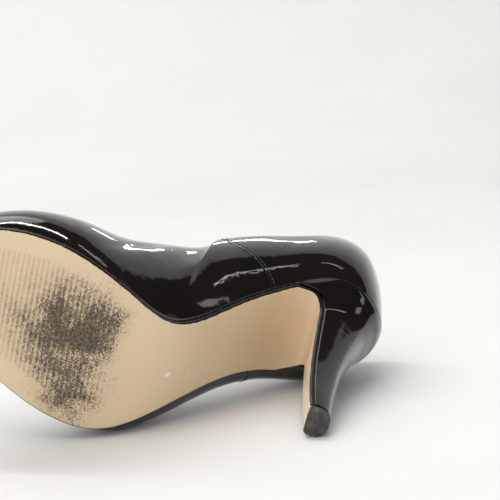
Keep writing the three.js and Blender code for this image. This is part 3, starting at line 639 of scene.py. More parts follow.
def sole_material():
    """Tan sole leather: painted shade where it turns down the heel, painted light down the flap,
    painted shade in the grooves, dirty under the ball.
    """
    n = Nodes("sole_leather")
    cloud = n.noise(22, 5, 0.55)
    grain = n.noise(900, 3, 0.6)
    # the colour along the sole holds painted shade where it turns down the heel and painted light
    # down the flap
    tone_and_painted_light = n.ramp(n.attribute("along"), [
        (0.0, (0.74, 0.585, 0.38)),
        (0.45, (0.76, 0.60, 0.40)),
        (0.58, (0.73, 0.56, 0.37)),
        (0.67, (0.66, 0.49, 0.30)),
        (0.72, (0.76, 0.56, 0.36)),
        (0.82, (0.86, 0.68, 0.48)),
        (1.0, (0.90, 0.73, 0.53)),
    ])
    tan = n.blend(n.times(cloud, 0.16), tone_and_painted_light, (0.52, 0.38, 0.22))
    tan = n.blend(n.times(grain, 0.10), tan, (0.40, 0.29, 0.17))
    # painted shade in the grooves, deeper where worn, then trodden-in dirt: specks that crowd
    # together where the sole is most worn
    wear = n.attribute("wear")
    groove = n.attribute("groove")
    worn = n.math("MINIMUM", n.times(wear, 1.6), 1.0)
    patchy = n.ramp(n.noise(150, 4, 0.6), [(0.35, 0.45), (0.65, 1.0)])
    # painted shade in the grooves between the ribs, with dirt added where the sole is worn
    groove_shade_and_dirt = n.times(groove, n.plus(n.times(worn, 0.4), 0.28))
    tan = n.blend(n.times(groove_shade_and_dirt, patchy), tan, (0.24, 0.17, 0.10))
    fine = n.noise(1500, 3, 0.7)
    crowd = n.times(wear, 1.1)
    for noise, weight in ((n.noise(85, 3, 0.5), 1.4), (n.noise(430, 4, 0.6), 1.3), (fine, 3.2)):
        crowd = n.plus(crowd, n.times(n.minus(noise, 0.5), weight))
    crowd = n.plus(crowd, n.times(groove, 0.40))
    crowd = n.times(n.minus(crowd, 0.70), 3.4)
    dirt = n.times(n.add("Clamp", {"Value": crowd}).outputs[0], worn)
    soot = n.ramp(n.noise(700, 3, 0.6), [
        (0.42, (0.020, 0.017, 0.014)), (0.66, (0.17, 0.13, 0.085)),
    ])
    soiled = n.blend(n.times(worn, 0.26), tan, (0.34, 0.27, 0.18))
    dirty = n.blend(n.times(dirt, 0.92), soiled, soot)
    # a pale scuff and a brown scratch on the waist, and the ragged edge of the black paint
    flecked = n.times(n.attribute("scuff"), n.plus(n.noise(900, 4, 0.7), 0.35))
    scuffed = n.blend(n.ramp(flecked, [(0.42, 0.0), (0.62, 1.0)]), dirty, (0.86, 0.84, 0.80))
    scored = n.times(n.attribute("scratch"), n.noise(900, 4, 0.7))
    scuffed = n.blend(n.ramp(scored, [(0.3, 0.0), (0.6, 0.7)]), scuffed, (0.30, 0.19, 0.10))
    rim = n.minus(n.attribute("rim"), n.times(n.noise(420, 3, 0.6), 0.9))
    painted = n.ramp(rim, [(0.0, 1.0), (0.12, 0.0)])
    rough = n.plus(n.times(dirt, 0.35), 0.36)
    relief = n.plus(n.times(fine, worn), n.times(grain, 0.18))
    n.set(
        Base_Color=n.blend(painted, scuffed, (0.012, 0.011, 0.011)),
        Roughness=n.minus(rough, n.times(painted, 0.2)),
        Normal=n.bump(relief, 0.28, 0.0005),
        Specular_IOR_Level=0.42,
    )
    return n.material


def leather_material(name, light, dark, roughness=0.55, grain_scale=700):
    """Smooth lining leather with a fine pore grain and cloudy handling marks."""
    n = Nodes(name)
    cloud = n.noise(30, 5, 0.6)
    pores = n.add("TexVoronoi", {"Vector": n.object_point(), "Scale": grain_scale}).outputs[0]
    shade = n.blend(n.ramp(cloud, [(0.3, 0.0), (0.75, 1.0)]), light, dark)
    n.set(
        Base_Color=n.blend(n.times(pores, 0.12), shade, dark),
        Roughness=n.ramp(cloud, [(0.3, roughness - 0.08), (0.8, roughness + 0.12)]),
        Normal=n.bump(pores, 0.25, 0.0004),
    )
    return n.material


def rubber_material():
    """Dark grey top-piece rubber, ground and scuffed by walking."""
    n = Nodes("scuffed_rubber")
    grit = n.noise(1500, 6, 0.8)
    patches = n.noise(260, 4, 0.6)
    wave = {"Vector": n.object_point(), "Scale": 260.0, "Distortion": 9.0, "Detail": 3.0}
    scored = n.add("TexWave", wave).outputs["Fac"]
    worn = n.plus(n.times(grit, 0.6), n.times(patches, 0.5))
    colour = n.ramp(worn, [
        (0.35, 0.018),
        (0.55, (0.055, 0.054, 0.050)),
        (0.72, (0.17, 0.165, 0.15)),
    ])
    relief = n.plus(n.times(scored, 0.35), grit)
    n.set(
        Base_Color=colour,
        Roughness=n.ramp(grit, [(0.3, 0.62), (0.7, 0.9)]),
        Normal=n.bump(relief, 0.6, 0.0006),
    )
    return n.material

PATENT = patent_material("patent_leather")
HEEL_PATENT = patent_material("heel_patent", 0.22)
SOLE = sole_material()
THREAD = mottled_material(
    "waxed_thread", (3000, 2, 0.5), [(0.35, (0.015, 0.015, 0.016)), (0.65, 0.09)],
    [(0.3, 0.16), (0.7, 0.36)], (0.5, 0.0002), Specular_IOR_Level=0.8,
)
# The black paint of the sole's edge is brushed on by hand: glossy and a little lumpy.
EDGE_PAINT = mottled_material(
    "edge_paint", (420, 3, 0.6), [(0.3, 0.008), (0.7, (0.02, 0.018, 0.017))],
    [(0.3, 0.12), (0.75, 0.34)], (0.5, 0.0006),
)
LINING = leather_material("lining_leather", (0.66, 0.53, 0.36), (0.47, 0.35, 0.22))
SOCK = leather_material("sock_leather", (0.62, 0.49, 0.33), (0.40, 0.30, 0.19), 0.5)
SUEDE = leather_material("grip_suede", (0.60, 0.48, 0.33), (0.42, 0.32, 0.21), 0.85, 1600)
RUBBER = rubber_material()
# Steel of the tube, nails and shank, with fine lines drawn along it.
STEEL = mottled_material(
    "drawn_steel", (3, 4, 0.6), [(0.3, (0.42, 0.42, 0.43)), (0.7, (0.60, 0.60, 0.61))],
    [(0.3, 0.24), (0.7, 0.42)], (0.15, 0.0003), stretch=(900.0, 60.0, 900.0), Metallic=1.0,
)
BOARD = board_material("fibre_board", (0.46, 0.34, 0.21), (0.27, 0.19, 0.11))
FOAM = board_material("latex_foam", (0.82, 0.78, 0.68), (0.66, 0.62, 0.52), 1400)
STIFFENER = board_material("stiffener_sheet", (0.74, 0.71, 0.65), (0.58, 0.55, 0.49), 300)
PLASTIC = board_material("heel_plastic", (0.60, 0.56, 0.50), (0.50, 0.46, 0.41), 120)

# --- outsole with its flap down the heel ---

RIB_PITCH = 2.2
RIB_DEPTH = 0.28
RIB_MARGIN = 9.5  # plain border around the ribbed field
LATERAL_MARGIN = (4.0, 20)  # how much the border gains on the lateral side, over what width
RIB_START = (14.0, 17.0)  # y where the ribs begin to show and where they are full
RIB_END = (90.0, 108.0)  # y where they begin to fade and where they are gone
# Worn patches under the ball: strength, x, y, reach across, reach along, squareness.
WORN_PATCHES = (
    (0.74, -6, 86, 42, 22, 1.4),
    (0.42, 3, 60, 28, 22, 1),
    (0.8, 2, 88, 7.5, 6.5, 1.5),
    (0.25, 14, 96, 12, 10, 1.3),
    (0.3, 0, 74, 14, 6, 1.3),
    (0.35, -32, 86, 12, 11, 1.3),
)
# A pale fleck and a brown scratch: x, y, reach across, reach along.
MARKS = {"scuff": (-14, 124, 1.5, 1.5), "scratch": (-14.5, 130, 2.4, 0.45)}
SOLE_COLUMNS = 81
SOLE_STEP = 0.44  # distance between the rows of the ribbed forepart
REAR_ROWS = 90
TIP_ROWS = 7
FLAP_ROWS = 130
# Depth and reach of the bevel round the edges.
SOLE_BEVEL = (0.5, 0.9)
FLAP_BEVEL = (0.35, 0.7)
ON_THE_EDGE = 1e-4


def rib_field(x, y, edge_distance):
    """How strongly the ribs show: full inside the margin, trodden away under the ball."""
    gain, width = LATERAL_MARGIN
    margin = RIB_MARGIN + gain * smoothstep(-x, 0, width)
    inside = smoothstep(edge_distance, margin - 1.5, margin + 1)
    ends = smoothstep(y, *RIB_START) * (1 - smoothstep(y, *RIB_END))
    trodden = 1 - 0.5 * np.minimum(1, wear_field(x, y))
    return inside * ends * trodden


def wear_field(x, y):
    """How worn and dirty the sole is, from 0 (clean) to above 1 (black with dirt)."""
    wear = 0 * x
    for strength, *place_and_reach, squareness in WORN_PATCHES:
        wear = wear + strength * np.exp(-1.1 * spot(x, y, *place_and_reach) ** squareness)
    return wear


def bevelled(edge_distance, bevel):
    """How far a face falls away near its edge."""
    depth, reach = bevel
    return depth * (1 - smoothstep(edge_distance, 0, reach))


def make_outsole():
    """The sole with its flap: ribbed and trodden, bevelled and painted round its edge."""
    across = np.linspace(-1, 1, SOLE_COLUMNS)[None, :]
    forepart = np.arange(1.0, RIB_END[1] + 4, SOLE_STEP)
    rear = np.linspace(forepart[-1] + 0.8, corner_y, REAR_ROWS)
    tip_t = np.linspace(0, float(edge_t(forepart[0])), TIP_ROWS + 1)[:-1]
    t = np.concatenate([tip_t, edge_t(forepart), edge_t(rear)])[:, None]
    t, s = np.broadcast_arrays(t, across)
    flat = stack_point(t, s, 0)
    x, y = flat[..., 0], flat[..., 1]
    edge_distance = np.minimum((1 - np.abs(s)) * half_at(t), y)
    field = rib_field(x, y, edge_distance)
    wave = 0.5 - 0.5 * np.cos(2 * np.pi * y / RIB_PITCH)
    sunk = RIB_DEPTH * field * wave**1.5
    bottom = stack_point(t, s, sunk + bevelled(edge_distance, SOLE_BEVEL))
    top = stack_point(t, s, OUTSOLE_THICK)

    p = np.linspace(0, 1, FLAP_ROWS)[1:, None] ** 1.3
    p, s = np.broadcast_arrays(p, across)
    flap = stack3(HEEL_SHIFT + s * heel_half(p), heel_y(p), heel_z(p))
    flap_edge = (1 - np.abs(s)) * heel_half(p)
    inner = flap + flap_normal(p) * flap_thickness(p)[..., None]
    flap = flap + flap_normal(p) * bevelled(flap_edge, FLAP_BEVEL)[..., None]

    bottom = np.concatenate([bottom, flap])
    top = np.concatenate([top, inner])
    edge_all = np.concatenate([edge_distance, flap_edge])
    rows, columns = edge_all.shape
    middle = bottom[:, columns // 2]
    travelled = np.cumsum(np.linalg.norm(np.diff(middle, axis=0, prepend=middle[:1]), axis=1))
    attributes = {
        "along": (travelled / travelled[-1])[:, None] + 0 * edge_all,
        "wear": np.concatenate([wear_field(x, y), 0 * p]),
        "groove": np.concatenate([field * wave, 0 * p]),
        "rim": edge_all,
        **{k: np.exp(-spot(bottom[..., 0], bottom[..., 1], *v)) for k, v in MARKS.items()},
    }
    attributes = {k: np.tile(v.ravel(), 2) for k, v in attributes.items()}
    points = np.stack([bottom, top])
    total = rows * columns
    faces = grid_faces(rows, columns)
    faces += [face[::-1] for face in grid_faces(rows, columns, first=total)]
    for i in range(rows - 1):
        for j in (0, columns - 1):
            a, b = i * columns + j, (i + 1) * columns + j
            faces.append((a, b, b + total, a + total))
    for a in range(total - columns, total - 1):
        faces.append((a, a + 1, a + 1 + total, a + total))
    piece = new_piece(
        "outsole_leather", points, faces, [SOLE, EDGE_PAINT], ["outsole"],
        attributes=attributes,
    )
    paint_edges(piece.data)


def paint_edges(mesh):
    """Gives the black paint to the faces round the edge of the sole."""
    rim = np.zeros(len(mesh.vertices), np.float32)
    mesh.attributes["rim"].data.foreach_get("value", rim)
    for polygon in mesh.polygons:
        if all(rim[v] < ON_THE_EDGE for v in polygon.vertices):
            polygon.material_index = 1


make_outsole()

# --- upper ---

WALL_COLUMNS = 52
BEAD_DEPTH = DEPTH_LINING - 0.1
BEAD_POINTS = 8
BEAD_TAIL = 3  # how far the folded edge runs down inside
FOOT_INSETS = (6, 3, 1)

# Dents and creases: depth, signed edge angle, height, reach along and up, slant.
UPPER_DENTS = (
    (-0.8, 0.545, 0.62, 0.03, 0.22, 0.05),
    (0.4, 0.505, 0.6, 0.022, 0.25, 0.08),
    (-0.4, 0.47, 0.55, 0.014, 0.3, 0.1),
    (-0.5, 0.59, 0.35, 0.03, 0.15, 0),
    (-0.5, -0.52, 0.6, 0.025, 0.25, -0.06),
    (0.4, -0.48, 0.6, 0.018, 0.3, -0.08),
    (-0.4, -0.45, 0.55, 0.014, 0.3, -0.08),
)


def wall_grid(spans, low=0.0, high=1.0, depth=0.0, columns=WALL_COLUMNS, worn=False):
    """A grid of points along and up the wall, at a depth under its face."""
    heights = mix(low, high, (np.linspace(0, 1, columns) ** 1.15)[None, :])
    at, normal = wall_point(spans[:, None], heights)
    if worn:
        at = at + normal * skin_relief(spans[:, None], heights)[..., None]
    return at - normal * depth


def skin_relief(s, height):
    """Dents and creases of the worn upper, in mm, fading out at its foot and topline."""
    relief = 0 * s * height
    for depth, at_s, at_height, wide, tall, slant in UPPER_DENTS:
        slanted = s - slant * (height - at_height)
        relief = relief + depth * np.exp(-spot(slanted, height, at_s, at_height, wide, tall))
    return relief * smoothstep(height, 0, 0.15) * (1 - smoothstep(height, 0.85, 1))


def folded_edge(spans):
    """The upper's folded topline: a half round from its outer face over to the lining."""
    at, normal = wall_point(spans, 1.0)
    along = unit(np.gradient(at, axis=0))
    up = unit(np.cross(along, normal))
    up = np.where(up[..., 2:] < 0, -up, up)
    radius = BEAD_DEPTH / 2
    centre = at - normal * radius
    angles = np.linspace(0, np.pi, BEAD_POINTS)
    ring = [centre + normal * radius * math.cos(a) + up * radius * math.sin(a) for a in angles]
    ring.append(ring[-1] - up * BEAD_TAIL)
    return np.stack(ring, 1)


def foot_edge(spans):
    """The upper's foot, turned in under the insole, from the inside out to the feather."""
    rows = [outline(spans) - outward(spans) * inset for inset in FOOT_INSETS]
    return on_level(np.stack(rows, 1), LEVEL_MARGIN)


def upper_piece(name, spans, open_rows, node):
    """A piece of the upper: its turned-in foot and wall, then its folded edges."""
    grids = [np.concatenate([foot_edge(spans), wall_grid(spans, worn=True)], 1)]
    grids += [folded_edge(spans[rows]) for rows in open_rows]
    points, faces, first = [], [], 0
    for grid in grids:
        rows, columns = grid.shape[:2]
        points.append(grid.reshape(-1, 3))
        faces += grid_faces(rows, columns, first)
        first += rows * columns
    new_piece(name, np.concatenate(points), faces, PATENT, [node], weld=True)


def vamp_spans():
    """Edge angles of the vamp, from its lateral to its medial seam, close at the throat."""
    plain = np.linspace(0, SEAM_T - SEAM_GAP_T, 190)
    turn = THROAT_T + np.linspace(0, 1, 16) ** 2 * 0.02
    half = np.unique(np.concatenate([plain, turn, [THROAT_T]]))
    return np.concatenate([-half[:0:-1], half])


def quarter_spans(side):
    return side * np.linspace(SEAM_T + SEAM_GAP_T, 1 - BACK_GAP_T, 110)


VAMP_SPANS = vamp_spans()
LATERAL_ROWS = np.flatnonzero(VAMP_SPANS <= -THROAT_T + 1e-9)
MEDIAL_ROWS = np.flatnonzero(VAMP_SPANS >= THROAT_T - 1e-9)
upper_piece("vamp_patent", VAMP_SPANS, [LATERAL_ROWS, MEDIAL_ROWS], "vamp")
for name, side in SIDES.items():
    spans = quarter_spans(side)
    upper_piece(f"{name}_quarter_patent", spans, [np.arange(len(spans))], f"{name}_quarter")

# --- lining, grip and sock ---

LINING_TOP = 0.995
LINING_COLUMNS = 30
GRIP_COLUMNS = 24
GRIP_TOP = (0.86, 0.09)  # height at its ends, and how much more at the back
SOCK_DEPTH = DEPTH_LINING + LINING_THICK + 0.2
SOCK_REACH = (0.03, 0.99)  # edge angles of its ends
SOCK_ROUNDING = (0.7, 1.2)  # depth and reach
# Hollows trodden by ball and heel: y and reach.
SOCK_HOLLOWS = ((78, 22), (188, 14))


def lining_sheet(name, node, material, spans, level, top, depth, thick, columns):
    """A sheet inside the wall, from a level of the bottom stack up, with round edges."""
    low = (level_share(spans, level) / topline_share(spans))[:, None]
    outer = wall_grid(spans, low, top, depth, columns)
    inner = wall_grid(spans, low, top, depth + thick, columns)
    upper_edge = rounded(outer, inner)
    lower_edge = rounded(inner[:, ::-1], outer[:, ::-1])
    points = np.concatenate([outer, upper_edge, inner[:, ::-1], lower_edge], 1)
    faces = grid_faces(*points.shape[:2], wrap=True)
    new_piece(name, points, faces, material, [node])


def lining_piece(node, spans):
    sizes = LEVEL_CUSHION, LINING_TOP, DEPTH_LINING, LINING_THICK, LINING_COLUMNS
    lining_sheet(f"{node}_leather", node, LINING, spans, *sizes)


def make_grip():
    """The suede grip round the back of the lining, lower towards its ends."""
    spans = np.concatenate([np.linspace(GRIP_T, 1, 50), -np.linspace(1, GRIP_T, 50)[1:]])
    taper = (np.abs(spans) - GRIP_T) / (1 - GRIP_T)
    top = (GRIP_TOP[0] + GRIP_TOP[1] * np.sqrt(np.clip(taper, 0, 1)))[:, None]
    sizes = LEVEL_SOCK + 2, top, DEPTH_GRIP, GRIP_THICK, GRIP_COLUMNS
    lining_sheet("heel_grip_suede", "heel_grip", SUEDE, spans, *sizes)


lining_piece("vamp_lining", VAMP_SPANS[::2])
for name, side in SIDES.items():
    lining_piece(f"{name}_quarter_lining", quarter_spans(side)[::2])
make_grip()


def sock_edges(t, level):
    """Lateral and medial edge of the sock where it meets the lining, at a level."""
    edges = []
    for s in (-t, t):
        share = level_share(s, level)
        edges.append(on_profile(profile(s), share) - wall_normal(s, share) * SOCK_DEPTH)
    return edges


def make_sock():
    """The leather sock, round at its edges and trodden hollow under heel and ball."""
    across = np.linspace(-1, 1, 41)[None, :]
    t = np.linspace(*SOCK_REACH, 160)
    low = sock_edges(t, LEVEL_SOCK)
    high = sock_edges(t, LEVEL_SOCK + SOCK_THICK)
    y = edge_y(t)[:, None]
    half = np.linalg.norm(low[1] - low[0], axis=-1)[:, None] / 2
    fall = bevelled((1 - np.abs(across)) * half, SOCK_ROUNDING)
    tread = sum(0.5 * np.exp(-(((y - at) / reach) ** 2)) for at, reach in SOCK_HOLLOWS)
    hollow = fall + tread * (1 - across * across)
    share = (across[..., None] + 1) / 2
    top = mix(high[0][:, None], high[1][:, None], share) - sole_normal(y) * hollow[..., None]
    bottom = mix(low[0][:, None], low[1][:, None], share)
    points = np.concatenate([top, bottom[:, ::-1]], 1)
    faces = grid_faces(*points.shape[:2], wrap=True) + end_caps(*points.shape[:2])
    new_piece("sock_leather", points, faces, SOCK, ["sock"])


make_sock()

# --- side seams ---

STITCH_OFFSET = 0.0045  # edge angle between the seam and its stitches
STITCH_PITCH = 1.9
STITCH_LENGTH = 1.45
STITCH_RADIUS = 0.28
STITCH_RISE = 0.26
STITCH_RINGS = 7
STITCH_CORNERS = 8
WELT_HALF_WIDTH = 0.6
WELT_RISE = 0.42
WELT_POINTS = 9
SUNK_IN = 0.12  # how deep the stitches and the welt sit in the leather


def seam_line(side, offset):
    """Points and normals along a side seam, shifted back from it by an edge angle."""
    return wall_point(side * (SEAM_T + offset), np.linspace(0.02, 0.985, 400))


def read_off(values, lengths, length):
    """Values given along a line, read off at one length of it."""
    return np.array([np.interp(length, lengths, column) for column in values.T])


def stitch_row(side, offset):
    """Points and faces of a row of stitches, each one an arched bead of thread."""
    at, normal = seam_line(side, offset)
    travelled = np.concatenate([[0], np.cumsum(np.linalg.norm(np.diff(at, axis=0), axis=1))])
    points, faces = [], []
    for start in np.arange(1.0, travelled[-1] - STITCH_LENGTH, STITCH_PITCH):
        head = read_off(at, travelled, start)
        tail = read_off(at, travelled, start + STITCH_LENGTH)
        out = unit(read_off(normal, travelled, start))
        across = np.cross(unit(tail - head), out)
        first = len(points)
        for i in range(STITCH_RINGS):
            share = i / (STITCH_RINGS - 1)
            arch = math.sin(math.pi * share)
            radius = STITCH_RADIUS * (0.35 + 0.65 * arch)
            centre = mix(head, tail, share) + out * (STITCH_RISE * arch - SUNK_IN)
            for k in range(STITCH_CORNERS):
                a = 2 * math.pi * k / STITCH_CORNERS
                points.append(centre + across * radius * math.cos(a) + out * radius * math.sin(a))
        faces += tube_faces(STITCH_RINGS, STITCH_CORNERS, first)
    return points, faces


def seam_welt(side):
    """The raised folded edge of the quarter where it laps onto the vamp."""
    at, normal = seam_line(side, 0.0)
    along = unit(np.gradient(at, axis=0))
    across = unit(np.cross(normal, along)) * side
    ring = []
    for a in np.linspace(0, math.pi, WELT_POINTS):
        rise = WELT_RISE * math.sin(a) - SUNK_IN
        ring.append(at + across * WELT_HALF_WIDTH * math.cos(a) + normal * rise)
    return np.stack(ring, 1)


for name, side in SIDES.items():
    welt = seam_welt(side)
    new_piece(f"{name}_seam_edge", welt, grid_faces(*welt.shape[:2]), PATENT)
    points, faces = stitch_row(side, STITCH_OFFSET)
    new_piece(f"{name}_seam_stitches", points, faces, THREAD)

# --- heel covering and top piece ---

COVER_ROWS = 150
COVER_TURNS = 72
COVER_TUCK = 1.1  # how far the covering is turned in along the flap
COVER_TUCK_FADE = 3
# Plan of the top piece: half width, front edge, corner radius, and the middle.
TIP_HALF = 6
TIP_FRONT = 188.4
TIP_CORNER = 2
TIP_MIDDLE = np.array([0, 194.3])
TIP_WEAR = 0.03  # how far the worn edge wanders, up to a height
TIP_WEAR_HEIGHT = 3
TIP_FACE = -1.2  # the tread starts this far in from the side
# Rings of the top piece from its top to its tread: how far they stand out, and their height.
TIP_RINGS = (
    (-5, 5.6), (-0.2, 5.6), (0, 5.3), (0, 3.6), (-0.1, 3.45), (0.02, 3.3),
    (0.05, 0.9), (-0.15, 0.35), (-0.6, 0.05), (TIP_FACE, 0), (-3, 0), (-5, 0),
)


def make_heel_cover():
    """The heel's patent covering, turned in along the flap and over the heel's end."""
    p = (np.linspace(0, 1, COVER_ROWS) ** 1.3)[:, None]
    turn = np.linspace(0, 1, COVER_TURNS)[None, :]
    medial = heel_point(p, turn, 1.0)
    lateral = heel_point(p, turn, -1.0)
    half = (medial[:, :1, :1] - lateral[:, :1, :1]) / 2
    tuck = np.array([COVER_TUCK, 0, 0]) * np.minimum(1, half / COVER_TUCK_FADE)
    ring = [medial[:, :1] - tuck, medial, lateral[:, -2::-1], lateral[:, :1] + tuck]
    sheet = np.concatenate(ring, 1)
    end = sheet[-1:]
    sheet = np.concatenate([sheet, mix(end, end.mean(1, keepdims=True), 0.35)])
    faces = grid_faces(*sheet.shape[:2])
    new_piece("heel_cover_patent", sheet, faces, HEEL_PATENT, ["heel_cover"], weld=True)


def arc(x, y, radius, angles):
    return np.stack([x + radius * np.cos(angles), y + radius * np.sin(angles)], -1)


def top_piece_outline(grow):
    """Plan of the top piece: straight at the front with round corners, round at the back."""
    half, front, corner = TIP_HALF + grow, TIP_FRONT - grow, TIP_CORNER + grow * 0.5
    quarter = (math.pi / 2) * np.arange(9) / 8
    back = math.pi * np.arange(1, 25) / 24
    return np.concatenate([
        arc(half - corner, front + corner, corner, quarter - math.pi / 2),
        arc(0, front + half - TIP_CORNER, half, back),
        arc(corner - half, front + corner, corner, quarter + math.pi),
    ])


def make_top_piece():
    """The rubber top piece, with rolled, slightly battered edges and a flat worn face."""
    random = np.random.default_rng(7)
    rings = []
    for grow, z in TIP_RINGS:
        plan = top_piece_outline(max(grow, TIP_FACE))
        if grow < TIP_FACE:
            shrink = (TIP_HALF + grow) / (TIP_HALF + TIP_FACE)
            plan = TIP_MIDDLE + (plan - TIP_MIDDLE) * shrink
        wear = TIP_WEAR if 0 < z < TIP_WEAR_HEIGHT else 0.0
        plan = plan + random.normal(0, wear, plan.shape)
        rings.append(stack3(plan[:, 0] + HEEL_SHIFT, plan[:, 1], z))
    faces = tube_faces(len(rings), len(rings[0]))
    new_piece("top_piece_rubber", rings, faces, RUBBER, ["top_piece"])


make_heel_cover()
make_top_piece()

# --- finishes of the CAD nodes that stay ---

NODE_FINISHES = (
    (PLASTIC, ["heel_block"]),
    (STEEL, ["heel_tube", "top_piece_pin", "heel_screw"]),
    (STEEL, [f"heel_nail_{k}" for k in range(1, 5)]),
    (STEEL, ["shank", "shank_rivet_front", "shank_rivet_rear"]),
    (BOARD, ["insole_board", "bottom_filler"]),
    (FOAM, ["sock_cushion"]),
    (STIFFENER, ["toe_puff", "heel_counter"]),
    (LINING, ["topline_tape"]),
)
for material, nodes in NODE_FINISHES:
    for node in nodes:
        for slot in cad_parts[node].material_slots:
            slot.material = material

# --- camera ---

# The view looks up at the sole of the shoe, which lies on its outer side.
# Azimuth, elevation and roll, in radians.
CAMERA_TURNS = (("Y", 0.1008), ("X", 0.4564), ("Z", 0.2474))
CAMERA_AIM = np.array([42.1, 143.7, 47.6])
CAMERA_DISTANCE = 704.7
LENS = 115.75
SHIFT = (-0.0043, -0.0021)


def camera_axes():
    """Rows: right, down and forward of the view, in the row frame."""
    axes = np.array([(0, 1, 0), (-1, 0, 0), (0, 0, 1)], float)
    for letter, angle in CAMERA_TURNS:
        axes = np.array(Matrix.Rotation(angle, 3, letter)) @ axes
    return axes


RIGHT, DOWN, FORWARD = camera_axes()


def add_camera():
    data = bpy.data.cameras.new("camera")
    data.lens = LENS
    data.sensor_width = 36
    data.shift_x, data.shift_y = SHIFT
    data.clip_start = 0.01
    data.clip_end = 20
    camera = add_object("camera", data)
    turn = Matrix((RIGHT, -DOWN, -FORWARD)).transposed().to_4x4()
    at = place(CAMERA_AIM - FORWARD * CAMERA_DISTANCE)
    camera.matrix_world = Matrix.Translation(Vector(at)) @ turn
    bpy.context.scene.camera = camera


add_camera()

# --- the floor that the shoe lies on, and the light ---

# Pieces that can touch the floor.
HULL_PIECES = (
    "outsole_leather", "vamp_patent", "lateral_quarter_patent", "heel_cover_patent",
    "top_piece_rubber",
)
SMALLEST_SIDE = 2e-4  # square metres
SAME_PLANE = 0.002


def resting_plane():
    """Outward normal and a point of the side of the shoe's hull that lies on the floor."""
    work = bmesh.new()
    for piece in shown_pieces():
        if piece.name in HULL_PIECES:
            for vertex in list(piece.data.vertices)[::3]:
                work.verts.new(vertex.co)
    bmesh.ops.convex_hull(work, input=work.verts)
    bmesh.ops.dissolve_limit(work, angle_limit=SAME_PLANE, verts=work.verts, edges=work.edges)
    sides = [face for face in work.faces if face.calc_area() > SMALLEST_SIDE]
    lowest = max(sides, key=lambda face: face.normal.dot(Vector(DOWN)))
    normal, point = lowest.normal.copy(), lowest.calc_center_median()
    work.free()
    return normal, point


FLOOR_NORMAL, FLOOR_POINT = resting_plane()
UP = -FLOOR_NORMAL
AHEAD = (Vector(FORWARD) - UP * Vector(FORWARD).dot(UP)).normalized()
ASIDE = AHEAD.cross(UP).normalized()

STAGE_START = -0.8
STAGE_BEND = 0.75  # where the floor starts to sweep up
STAGE_RADIUS = 0.5
STAGE_TOP = 2.2
STAGE_HALF_WIDTH = 2.5
STAGE_CLEARANCE = 0.0002
SHOE_MIDDLE = (0, 115, 45)


def stage_material():
    """Pale paper seen from its front; from behind it lets the view through."""
    n = Nodes("stage_paper")
    tones = [(0.3, (0.80, 0.795, 0.765)), (0.7, (0.83, 0.825, 0.80))]
    n.set(Base_Color=n.ramp(n.noise(9, 4, 0.6), tones), Roughness=0.6)
    back = n.add("NewGeometry").outputs["Backfacing"]
    clear = n.add("BsdfTransparent").outputs[0]
    mixed = n.add("MixShader", {0: back, 1: n.shader.outputs[0], 2: clear})
    n.tree.links.new(mixed.outputs[0], n.tree.nodes["Material Output"].inputs["Surface"])
    return n.material


def add_stage():
    """A floor that sweeps up behind the shoe."""
    base = FLOOR_POINT - UP * STAGE_CLEARANCE
    path = [(x, 0.0) for x in (STAGE_START, *np.linspace(STAGE_START / 2, STAGE_BEND, 8))]
    turn = (math.pi / 2) * (np.arange(1, 17) / 16 - 1)
    path += arc(STAGE_BEND, STAGE_RADIUS, STAGE_RADIUS, turn).tolist()
    path.append((STAGE_BEND + STAGE_RADIUS, STAGE_TOP))
    points = []
    for forward, up in path:
        for side in (-STAGE_HALF_WIDTH, STAGE_HALF_WIDTH):
            points.append(tuple(base + AHEAD * forward + UP * up + ASIDE * side))
    faces = [(2 * i, 2 * i + 1, 2 * i + 3, 2 * i + 2) for i in range(len(path) - 1)]
    mesh = bpy.data.meshes.new("stage_sweep")
    mesh.from_pydata(points, [], faces)
    mesh.update()
    if mesh.polygons[0].normal.dot(UP) < 0:
        mesh.flip_normals()
    mesh.polygons.foreach_set("use_smooth", [True] * len(mesh.polygons))
    mesh.materials.append(stage_material())
    sweep = add_object("stage_sweep", mesh)


add_stage()


def add_softbox(name, towards, distance, size, power, shines=True):
    """An area light that faces the shoe from a direction (aside, ahead, up) of the view
    over the floor. One that does not shine is left out of reflections."""
    middle = Vector(place(SHOE_MIDDLE))
    offset = ASIDE * towards[0] + AHEAD * towards[1] + UP * towards[2]
    data = bpy.data.lights.new(name, "AREA")
    data.shape = "RECTANGLE"
    data.size, data.size_y = size
    data.energy = power
    light = add_object(name, data)
    light.visible_glossy = shines
    light.visible_camera = False
    light.location = middle + offset.normalized() * distance
    light.rotation_euler = (middle - light.location).to_track_quat("-Z", "Y").to_euler()


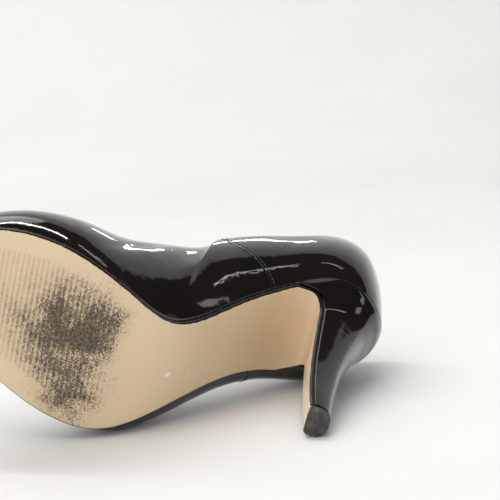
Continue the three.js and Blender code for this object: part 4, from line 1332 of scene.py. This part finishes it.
def aimed_at(s, height):
    """Where a light shows in the wall as seen from the camera, as (aside, ahead, up)."""
    at, normal = wall_point(np.array([s]), np.array([height]))
    camera = CAMERA_AIM - FORWARD * CAMERA_DISTANCE
    sight = unit(at[0] - camera)
    mirrored = Vector(sight - 2 * sight.dot(normal[0]) * normal[0])
    return mirrored.dot(ASIDE), mirrored.dot(AHEAD), mirrored.dot(UP)


add_softbox("overhead_strip", (-0.12, 0.25, 1.0), 1.5, (1.72, 0.06), 7.5)
add_softbox("waist_strip", aimed_at(0.545, 0.64), 0.4, (0.06, 0.012), 0.03)
add_softbox("right_strip", (0.62, 0.08, 0.78), 1.5, (0.5, 0.03), 0.3)
add_softbox("back_card", (-0.28, 0.5, 0.87), 1.5, (1.1, 0.7), 4.0)
add_softbox("waist_card", aimed_at(0.60, 0.08), 1.2, (0.16, 0.14), 0.1)
add_softbox("overhead_softbox", (-0.05, -0.45, 1.0), 1.5, (0.9, 0.9), 5.5, shines=False)
add_softbox("front_fill", (-0.4, -1.0, 0.4), 1.5, (1.0, 1.0), 7.0, shines=False)

AMBIENT_LIGHT = 0.58
AMBIENT_COLOUR = (0.93, 0.94, 0.96)
DARK_ROOM = (0.052, 0.040, 0.034)
BACKDROP = (0.88, 0.88, 0.87)


def add_world():
    """Surroundings: white to the view, a dark room to reflections, soft light to the rest."""
    world = bpy.data.worlds.new("studio")
    world.use_nodes = True
    bpy.context.scene.world = world
    tree = world.node_tree
    ray = tree.nodes.new("ShaderNodeLightPath")
    surface = tree.nodes["Background"].outputs[0]
    tree.nodes["Background"].inputs["Color"].default_value = (*AMBIENT_COLOUR, 1)
    tree.nodes["Background"].inputs["Strength"].default_value = AMBIENT_LIGHT
    for rays, colour in (("Is Glossy Ray", DARK_ROOM), ("Is Camera Ray", BACKDROP)):
        background = tree.nodes.new("ShaderNodeBackground")
        background.inputs["Color"].default_value = (*colour, 1)
        choose = tree.nodes.new("ShaderNodeMixShader")
        tree.links.new(ray.outputs[rays], choose.inputs[0])
        tree.links.new(surface, choose.inputs[1])
        tree.links.new(background.outputs[0], choose.inputs[2])
        surface = choose.outputs[0]
    tree.links.new(surface, tree.nodes["World Output"].inputs["Surface"])


add_world()
bpy.context.scene.view_settings.view_transform = "Standard"
